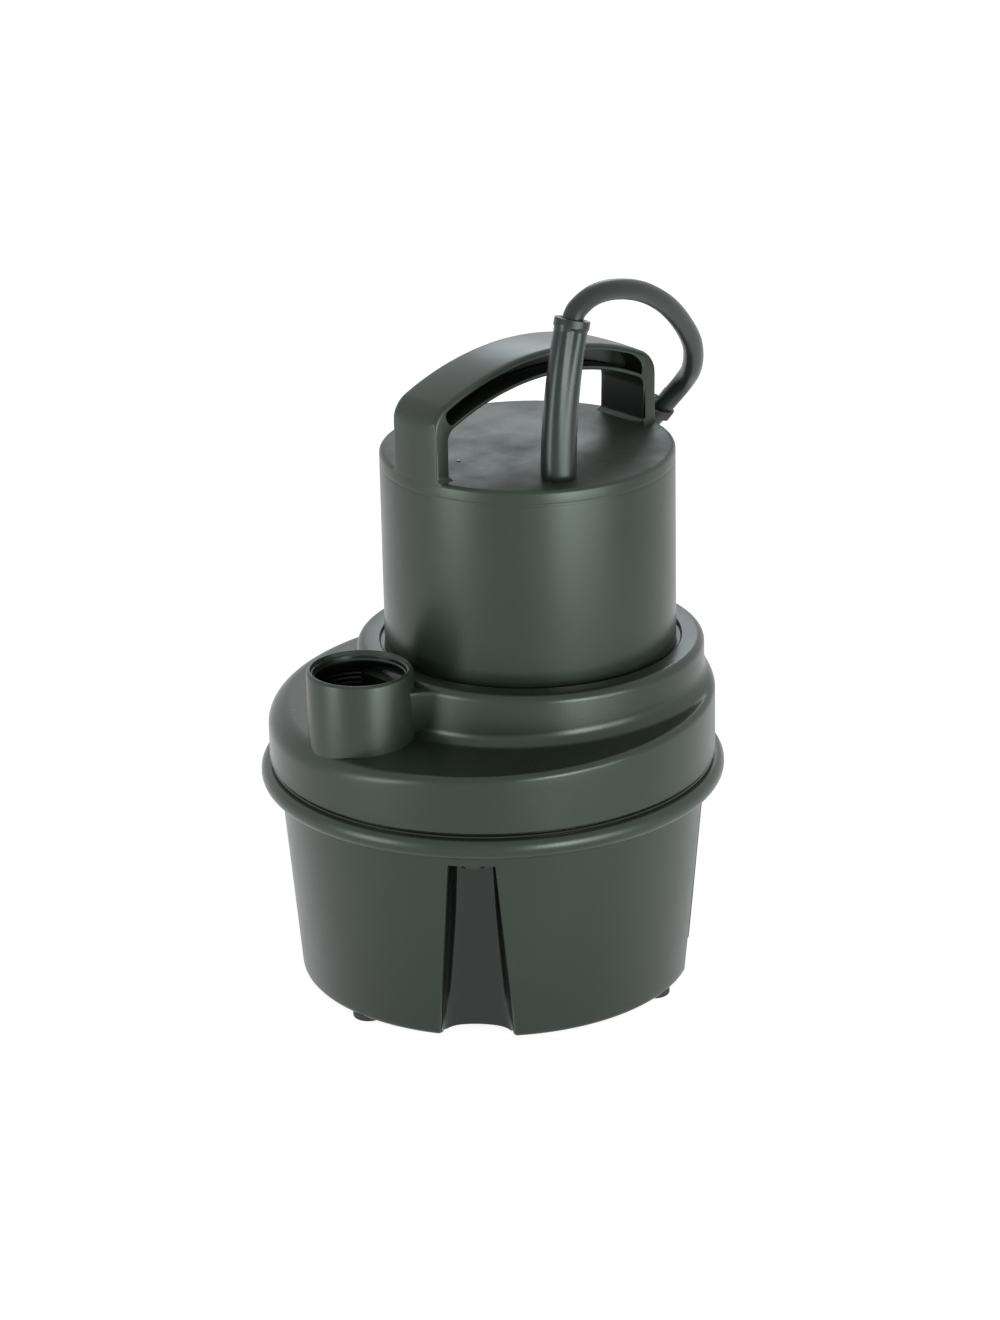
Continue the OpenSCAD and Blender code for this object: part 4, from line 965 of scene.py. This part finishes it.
# the strainer base: recess widths and fillets are given at its foot and at its ceiling
base = {
    "bottomR": 87.3, "topR": 94.6, "height": 93, "wall": 3, "lip": 5, "edge": 2.2,
    "recessDir": 223.4, "recessBottom": 31.5, "recessTop": 20, "recessBack": 78, "recessH": 84, "pad": 6,
    "archR": 60, "archH": 2.2, "recessFillet": (7.5, 3.6), "recessEdge": (2.6, 0.6),
    "feetDirs": (184, 290, 65), "feetAt": 79.5, "bossR": 7, "bossH": 8, "shadeTop": 60,
    "fixAt": 84.5, "fixR": 6.2, "fixHole": 4.8, "fixZ": 83.9,
    "footRows": 7, "wallRows": 29, "lipRows": 5, "insideRows": 16, "cheekCols": 8, "wallCols": 40,
}


def wallRadius(z, values):
    # the outer wall's radius grows evenly with height
    taper = (values["topR"] - values["bottomR"]) / values["height"]
    return values["bottomR"] + taper * (z - pump["footH"])


def baseSection(z, inset, values):
    # a quarter of each row, x outward and y aside: half a recess's back, fillet, cheek and rounded edge,
    # mirrored, and then the arc of the wall to the next recess; also the wall's radius and the recess's count
    outerR = wallRadius(z, values) - inset
    up = (z - pump["footH"]) / values["recessH"]
    narrow = (values["recessBottom"] - values["recessTop"]) / 2 * np.clip(up, 0, 1.2)
    hw = values["recessBottom"] / 2 + inset - narrow
    back = values["recessBack"] - inset
    up = np.clip(up, 0, 1)
    f, e = (a + (b - a) * up for a, b in (values["recessFillet"], values["recessEdge"]))
    deep = np.minimum(2 * f, 0.7 * (outerR - back))
    flat = np.linspace(0, 1, 5)[:-1]
    bend = np.linspace(0, np.pi / 2, values["cheekCols"])
    y = [(hw - f) * k for k in flat] + [hw - f + f * math.sin(b) for b in bend]
    x = [back + 0 * hw for k in flat] + [back + deep * (1 - math.cos(b)) for b in bend]
    out = np.sqrt(outerR ** 2 - hw ** 2)
    y += [hw] + [hw + e * (1 - math.cos(b)) for b in bend]
    x += [(back + deep + out - e) / 2] + [out - e + e * math.sin(b) for b in bend]
    y, x = np.stack(y, -1), np.stack(x, -1)
    x = np.minimum(x, np.sqrt(outerR[:, None] ** 2 - y ** 2))
    halfAngle = np.arctan2(y[:, -1], x[:, -1])[:, None]
    arc = halfAngle + (np.pi / 2 - 2 * halfAngle) * np.linspace(0, 1, values["wallCols"] + 2)[1:-1]
    wallArc = outerR[:, None, None] * joined(np.cos(arc), np.sin(arc))
    side = joined(x, y)
    mirror = (side * [1, -1])[:, :0:-1]
    return np.concatenate([mirror, side, wallArc], 1), outerR, mirror.shape[1] + side.shape[1]


def baseRows(zs, inset, values, top):
    # rows up the wall; above the recess its points go out to the wall, below they rise over the arch
    section, outerR, count = baseSection(zs, inset, values)
    z = np.repeat(zs[:, None], section.shape[1], 1)
    arch = np.sqrt(values["archR"] ** 2 - section[..., 1] ** 2)
    lift = np.clip(values["archH"] - values["archR"] + arch, 0, None)
    lift[:, count:] = 0
    share = np.clip(1 - (z - pump["footH"]) / (top - pump["footH"]), 0, 1)
    z = z + lift * share
    above = zs > top + 0.001
    full = np.sqrt(outerR[:, None] ** 2 - section[:, :count, 1] ** 2)
    section[above, :count, 0] = full[above]
    return section, z


def recessTurns(values):
    # the directions of the four recesses
    return [math.radians(values["recessDir"] + 90 * k) for k in range(4)]


def baseWall(values):
    # outer rows from the rounded foot up to the lip, inner rows back down, each turned to the four recesses
    low, e, topZ = pump["footH"], values["edge"], pump["baseTop"] + values["lip"]
    ceiling = low + values["recessH"]
    foot = low + e * (1 - np.cos(np.linspace(0, np.pi / 2, values["footRows"])))
    wall = np.linspace(low + e, ceiling, values["wallRows"] + 1)[1:]
    over = np.linspace(ceiling + 1, pump["baseTop"], values["lipRows"])
    zs = np.concatenate([foot, wall, [ceiling + 0.002], over, [topZ]])
    section, z = baseRows(zs, 0.0, values, ceiling)
    shrink = hollowFillet(np.clip(zs - low, 0, e), e)[:, None]
    radius = np.hypot(section[..., 0], section[..., 1])
    pull = np.where(radius > values["recessBack"] + 5, shrink / radius, 0)
    section = section * (1 - pull)[..., None]
    flat = zs >= pump["baseTop"]
    section[flat] *= (values["topR"] / np.hypot(section[flat, :, 0], section[flat, :, 1]))[..., None]
    inTop = ceiling + values["pad"]
    inner = np.linspace(low, inTop, values["insideRows"])
    zi = np.concatenate([inner, [inTop + 0.002], [pump["baseTop"], topZ]])[::-1]
    rows = []
    for xy, zz in ((section, z), baseRows(zi, values["wall"], values, inTop)):
        x, y, turns = xy[..., 0], xy[..., 1], recessTurns(values)
        rows.append(np.concatenate([joined(x * math.cos(a) - y * math.sin(a),
                                           x * math.sin(a) + y * math.cos(a), zz) for a in turns], 1))
    return np.concatenate(rows)


def atAngles(profile, reach, angles, around=48):
    # the same turned profile at each angle about the base's axis
    return [latheGrid(profile, (reach * math.cos(a), reach * math.sin(a)), around) for a in angles]


def makeBase(values):
    # the wall, a boss over each foot, and a ring round each screw in the ceiling of its recess
    low, ceiling = pump["footH"], pump["footH"] + values["recessH"]
    r, high = values["bossR"], low + values["bossH"]
    boss = roundedPath([(0, low + 0.05, 0), (r, low + 0.05, 0.4), (r, high, 0), (0, high, 0)], 3)
    hole, outer, foot = values["fixHole"], values["fixR"], values["fixZ"]
    roof = ceiling + 2
    ring = roundedPath([(hole, roof, 0), (hole, foot, 0.3), (outer, foot, 0.6), (outer, roof, 0)], 3)
    parts = [closedRing(baseWall(values))]
    parts += [openEnds(grid) for grid in atAngles(boss, values["feetAt"], np.radians(values["feetDirs"]))]
    parts += [closedRing(grid) for grid in atAngles(ring, values["fixAt"], recessTurns(values))]

    def shadeMask(x, y, z):
        # painted shade: dark deeper in the recesses than the wall's own radius, up to half as dark toward the
        # foot, and right under the bead
        deep = np.clip((wallRadius(z, values) - np.hypot(x, y) - 1) / 6, 0, 1)
        foot = 0.5 * np.clip((values["shadeTop"] - z) / values["shadeTop"], 0, 1)
        return np.maximum(np.maximum(deep, foot), 0.9 * np.clip((z - pump["baseTop"] + 3.5) / 2, 0, 1))

    return makePiece("strainerBase", parts, finishes["housing_plastic"], 40, shares={"paintedShade": shadeMask})


standIn(makeBase(base), "housing_plastic", "strainer_base")

# feet, cable tie, the coil's wrap and the plug; sizes in threes are thick, long or aside, and wide
trim = {
    "footR": 7, "dishR": 3.5, "dish": 0.5,
    "tieW": 4.8, "tieT": 1.3, "tieHead": (5, 4, 6.8), "tieTail": 11, "tieSwing": 50,
    "wrapDir": 60, "wrapW": 16, "wrapT": 1.0, "wrapRound": 4, "flapLong": 18,
    "wrapGap": 1, "flapIn": 14, "plugR": 15, "plugLong": 34, "plugEdge": 1.2, "flareLong": 8,
    "flareCurve": 1.3, "flatSides": 0.10, "waist": 0.7, "waistAt": 13, "waistLong": 3.2,
    "bootLong": 12, "bootR": 7.5, "ribPitch": 2.4, "ribDeep": 0.35,
    "blade": (6.3, 1.5, 18), "bladeAt": (4.5, 6.35), "pinR": 2.4, "pinLong": 20, "pinAt": (-7.4, 0),
}


def makeFeet(values):
    # a turned rubber button with a dished sole
    high, r, dishR, dish = pump["footH"], values["footR"], values["dishR"], values["dish"]
    profile = roundedPath([(0, dish, 0), (dishR, dish, 0.3), (dishR + 0.7, 0, 0.3), (r, 0, 0.8),
                           (r, high, 0.3), (0, high, 0)], 4)
    grids = atAngles(profile, base["feetAt"], np.radians(base["feetDirs"]))
    return makePiece("rubberFeet", [openEnds(grid) for grid in grids], finishes["black_rubber"], 50)


def makeCableTie(values):
    # a strap with rounded edges round cord and bar, its lock and its cut tail
    reach, r = housing["tieReach"], pump["cordR"] + values["tieT"] / 2
    a = np.linspace(-np.pi / 2, np.pi / 2, 20)
    c, s = np.cos(a), np.sin(a)
    line = np.concatenate([joined(r * c, r * s), joined(-reach - r * c, -r * s)])
    outward = np.concatenate([joined(c, s), joined(-c, -s)])
    w, t, e = values["tieW"] / 2, values["tieT"] / 2, 0.3
    section = roundedPath([(t, -w, e), (t, w, e), (-t, w, e), (-t, -w, e)], 3, closed=True)
    xy = line[:, None] + outward[:, None] * section[:, :1]
    strap = joined(xy[..., 0], xy[..., 1], section[:, 1])
    swing = spunAbout(values["tieSwing"])
    out, head, tail = pump["cordR"] + values["tieT"], values["tieHead"], values["tieTail"]
    lock = roundedBox(head, 0.7) + [0, -out - head[1] / 2 + 0.3, 0]
    end = roundedBox((values["tieT"], tail, values["tieW"]), 0.3) + [0, -out - head[1] - tail / 2 + 1.2, 0]
    matrix, origin = tieMatrix(housing)
    parts = [closedRing(placed(strap, matrix, origin))]
    parts += [openEnds(placed(placed(grid, swing, (0, 0, 0)), matrix, origin)) for grid in (lock, end)]
    return makePiece("cableTie", parts, finishes["black_nylon"], 45)


def makeWrap(values):
    # a flat band round the coil's turns: between an inner and an outer rounded rectangle, carried across the
    # band's width, with a flap on top
    gap = pump["cordR"] + values["wrapGap"]
    r0 = cord["coilOut"] - cord["coilPitch"] * cord["coilTurns"] - gap
    r1 = cord["coilOut"] + gap
    high = cord["coilZ"] + cord["coilRise"] + pump["cordR"] + 0.6
    t, bend, wide = values["wrapT"], values["wrapRound"], values["wrapW"]

    def frameLine(grow):
        # the rounded rectangle, grown on all sides
        x0, x1, z0, z1 = r0 - grow, r1 + grow, 1 - grow, high + grow
        corners = [(x0, z0), (x1, z0), (x1, z1), (x0, z1)]
        return roundedPath([(x, z, bend + grow) for x, z in corners], 8, closed=True)

    near, far = frameLine(0), frameLine(t)
    across = roundedPath([(0, -1, 0.3), (1, -1, 0.3), (1, 1, 0.3), (0, 1, 0.3)], 3, closed=True)
    across[:, 0] = (across[:, 0] - across[:, 0].min()) / np.ptp(across[:, 0])
    xz = near[:, None] + (far - near)[:, None] * across[:, :1]
    band = joined(xz[..., 0], across[:, 1] * wide / 2, xz[..., 1])
    flap = roundedBox((values["flapLong"], wide - 1, t), 0.4) + [r1 - values["flapIn"], 0, high + t + 0.3]
    turned, middle = spunAbout(values["wrapDir"]), [*cord["coilMiddle"], 0]
    parts = [closedRing(placed(band, turned, middle)), openEnds(placed(flap, turned, middle))]
    return makePiece("coilTie", parts, finishes["black_nylon"], 45)


def plugPlace():
    # the plug's frame: its length along the cord's end, its first axis down
    z = np.array(plugAim)
    x = np.array([0, 0, -1.0])
    return np.stack([x, np.cross(z, x), z], -1), route[-1]


def makePlug(values):
    # boot rings, flare and grip: a circle flattened at two sides, its size a function of length
    long, boot, edge = values["plugLong"], values["bootLong"], values["plugEdge"]
    flare = boot + values["flareLong"]
    t = np.concatenate([np.linspace(0, boot, 49), np.linspace(boot, flare, 12)[1:],
                        np.linspace(flare, long - edge, 16)[1:],
                        long - edge + edge * np.sin(np.linspace(0, np.pi / 2, 6))[1:]])
    ribs = values["ribDeep"] * np.cos(turn * t / values["ribPitch"]) * (t < boot)
    bootR = pump["cordR"] + 1.2 + (values["bootR"] - pump["cordR"] - 1.5) * t / boot + ribs
    swell = np.clip((t - boot) / values["flareLong"], 0, 1)
    neckR = values["bootR"] - 0.3
    grip = neckR + (values["plugR"] - neckR) * np.sin(swell * np.pi / 2) ** values["flareCurve"]
    waist = values["waist"] * np.exp(-((t - boot - values["waistAt"]) / values["waistLong"]) ** 2)
    r = np.where(t < boot, bootR, grip) - waist
    end = np.clip((t - (long - edge)) / edge, 0, 1)
    r = r - edge * (1 - np.sqrt(1 - end ** 2))
    phi = np.linspace(0, turn, 64, endpoint=False)
    shape = 1 - values["flatSides"] * swell[:, None] * np.abs(np.sin(phi)) ** 3
    x, y = r[:, None] * shape * np.cos(phi), r[:, None] * shape * np.sin(phi)
    grid = withEnds(joined(x, y, t[:, None]))
    return makePiece("plugBody", [openEnds(placed(grid, *plugPlace()))], finishes["black_rubber"], 50)


def makeBlades(values):
    # two flat blades and a round pin, their tips rounded
    out, aside = values["bladeAt"]
    r, high = values["pinR"], values["pinLong"]
    pin = roundedPath([(0, -1, 0), (r, -1, 0), (r, high, 2.2), (0, high, 0)], 8)
    rise = values["plugLong"] + 8
    grids = [roundedBox(values["blade"], 0.5) + [out, side * aside, rise] for side in (-1, 1)]
    grids.append(latheGrid(pin, values["pinAt"], 32) + [0, 0, values["plugLong"]])
    parts = [openEnds(placed(grid, *plugPlace())) for grid in grids]
    return makePiece("plugBlades", parts, finishes["plug_brass"], 45)


standIn(makeFeet(trim), "black_rubber", "rubber_feet")
withCord = [standIn(makeCableTie(trim), "black_nylon", "cable_tie"),
            standIn(makeWrap(trim), "black_nylon", "coil_tie"),
            standIn(makePlug(trim), "black_rubber", "plug_body"),
            standIn(makeBlades(trim), "plug_brass", "plug_blades")]
print("trim made")

# finishes on the nodes that stay
slots = {row["node"]: row["material_slot"] for row in frame["record"]["subparts"]}
for node, shown in frame["nodes"].items():
    for place in shown.material_slots:
        place.material = finishes[slots[node]]
print("finishes on", len(slots), "nodes")

# floor and light, in metres
studio = {
    "floor": 6.0, "floorColour": (0.62, 0.62, 0.62, 1), "floorRough": 0.9, "floorWhite": 0.86, "world": 0.25,
    "aim": (0.01, 0, 0.14),
    # angle from the camera to the right in degrees, distance, height, width, tall, watts, colour
    "boxes": [
        (-56, 0.8, 0.17, 0.32, 0.34, 2.2, (1.0, 1.0, 0.98)),
        (30, 0.8, 0.17, 0.28, 0.34, 2.8, (0.98, 1.0, 1.0)),
        (50, 0.8, 0.17, 0.28, 0.34, 1.3, (0.98, 1.0, 1.0)),
        (180, 0.45, 1.2, 0.7, 0.7, 0.3, (0.92, 0.99, 1.0)),
        (175, 1.2, 0.83, 0.45, 0.22, 1.65, (0.86, 0.96, 1.02)),
    ],
}


def fromCamera(angle, distance, height):
    # a place at that angle from the camera's own direction, counted to the right
    a = math.radians(angle)
    flat = right * math.sin(a) - away * math.cos(a)
    return Vector((flat.x * distance, flat.y * distance, height))


def seenDirectly(tree):
    # one for camera, glossy and transmission rays, so that mirrors show the same pale room, else nought
    path = tree.nodes.new("ShaderNodeLightPath").outputs
    kinds = "Camera", "Glossy", "Transmission"
    return mathNode(tree, "MAXIMUM", *(path[f"Is {kind} Ray"] for kind in kinds))


def makeFloor(values):
    # a pale sheet that takes the shadow; what is seen directly or mirrored also glows white
    size = values["floor"]
    mesh = bpy.data.meshes.new("floor")
    corners = [(-size, -size, 0), (size, -size, 0), (size, size, 0), (-size, size, 0)]
    mesh.from_pydata(corners, [], [(0, 1, 2, 3)])
    material, tree, shader = newMaterial("paleFloor")
    for label, value in (("Base Color", values["floorColour"]), ("Roughness", values["floorRough"]),
                         ("Specular IOR Level", 0.0)):
        shader.inputs[label].default_value = value
    glow = addNode(tree, "ShaderNodeEmission", Color=(1, 1, 1, 1),
                   Strength=scaled(tree, seenDirectly(tree), values["floorWhite"]))
    both = tree.nodes.new("ShaderNodeAddShader")
    tree.links.new(shader.outputs[0], both.inputs[0])
    tree.links.new(glow.outputs[0], both.inputs[1])
    tree.links.new(both.outputs[0], tree.nodes["Material Output"].inputs["Surface"])
    mesh.materials.append(material)
    added("floor", mesh)


def makeLights(values):
    # a white world that is dim for the light it gives, and soft boxes aimed at the pump's middle
    world = bpy.data.worlds.new("studio")
    bpy.context.scene.world = world
    world.use_nodes = True
    tree = world.node_tree
    back = tree.nodes["Background"]
    back.inputs["Color"].default_value = (1, 1, 1, 1)
    tree.links.new(ramp(tree, seenDirectly(tree), 0.0, 1.0, values["world"]), back.inputs["Strength"])
    for angle, distance, height, wide, tall, watts, colour in values["boxes"]:
        light = bpy.data.lights.new("softBox", "AREA")
        light.shape, light.size, light.size_y = "RECTANGLE", wide, tall
        light.energy, light.color = watts, colour
        box = added("softBox", light)
        box.location = fromCamera(angle, distance, height)
        aim = Vector(values["aim"]) - box.location
        box.rotation_euler = aim.to_track_quat("-Z", "Y").to_euler()


makeFloor(studio)
makeLights(studio)
bpy.context.scene.view_settings.view_transform = "Standard"
print("studio made")
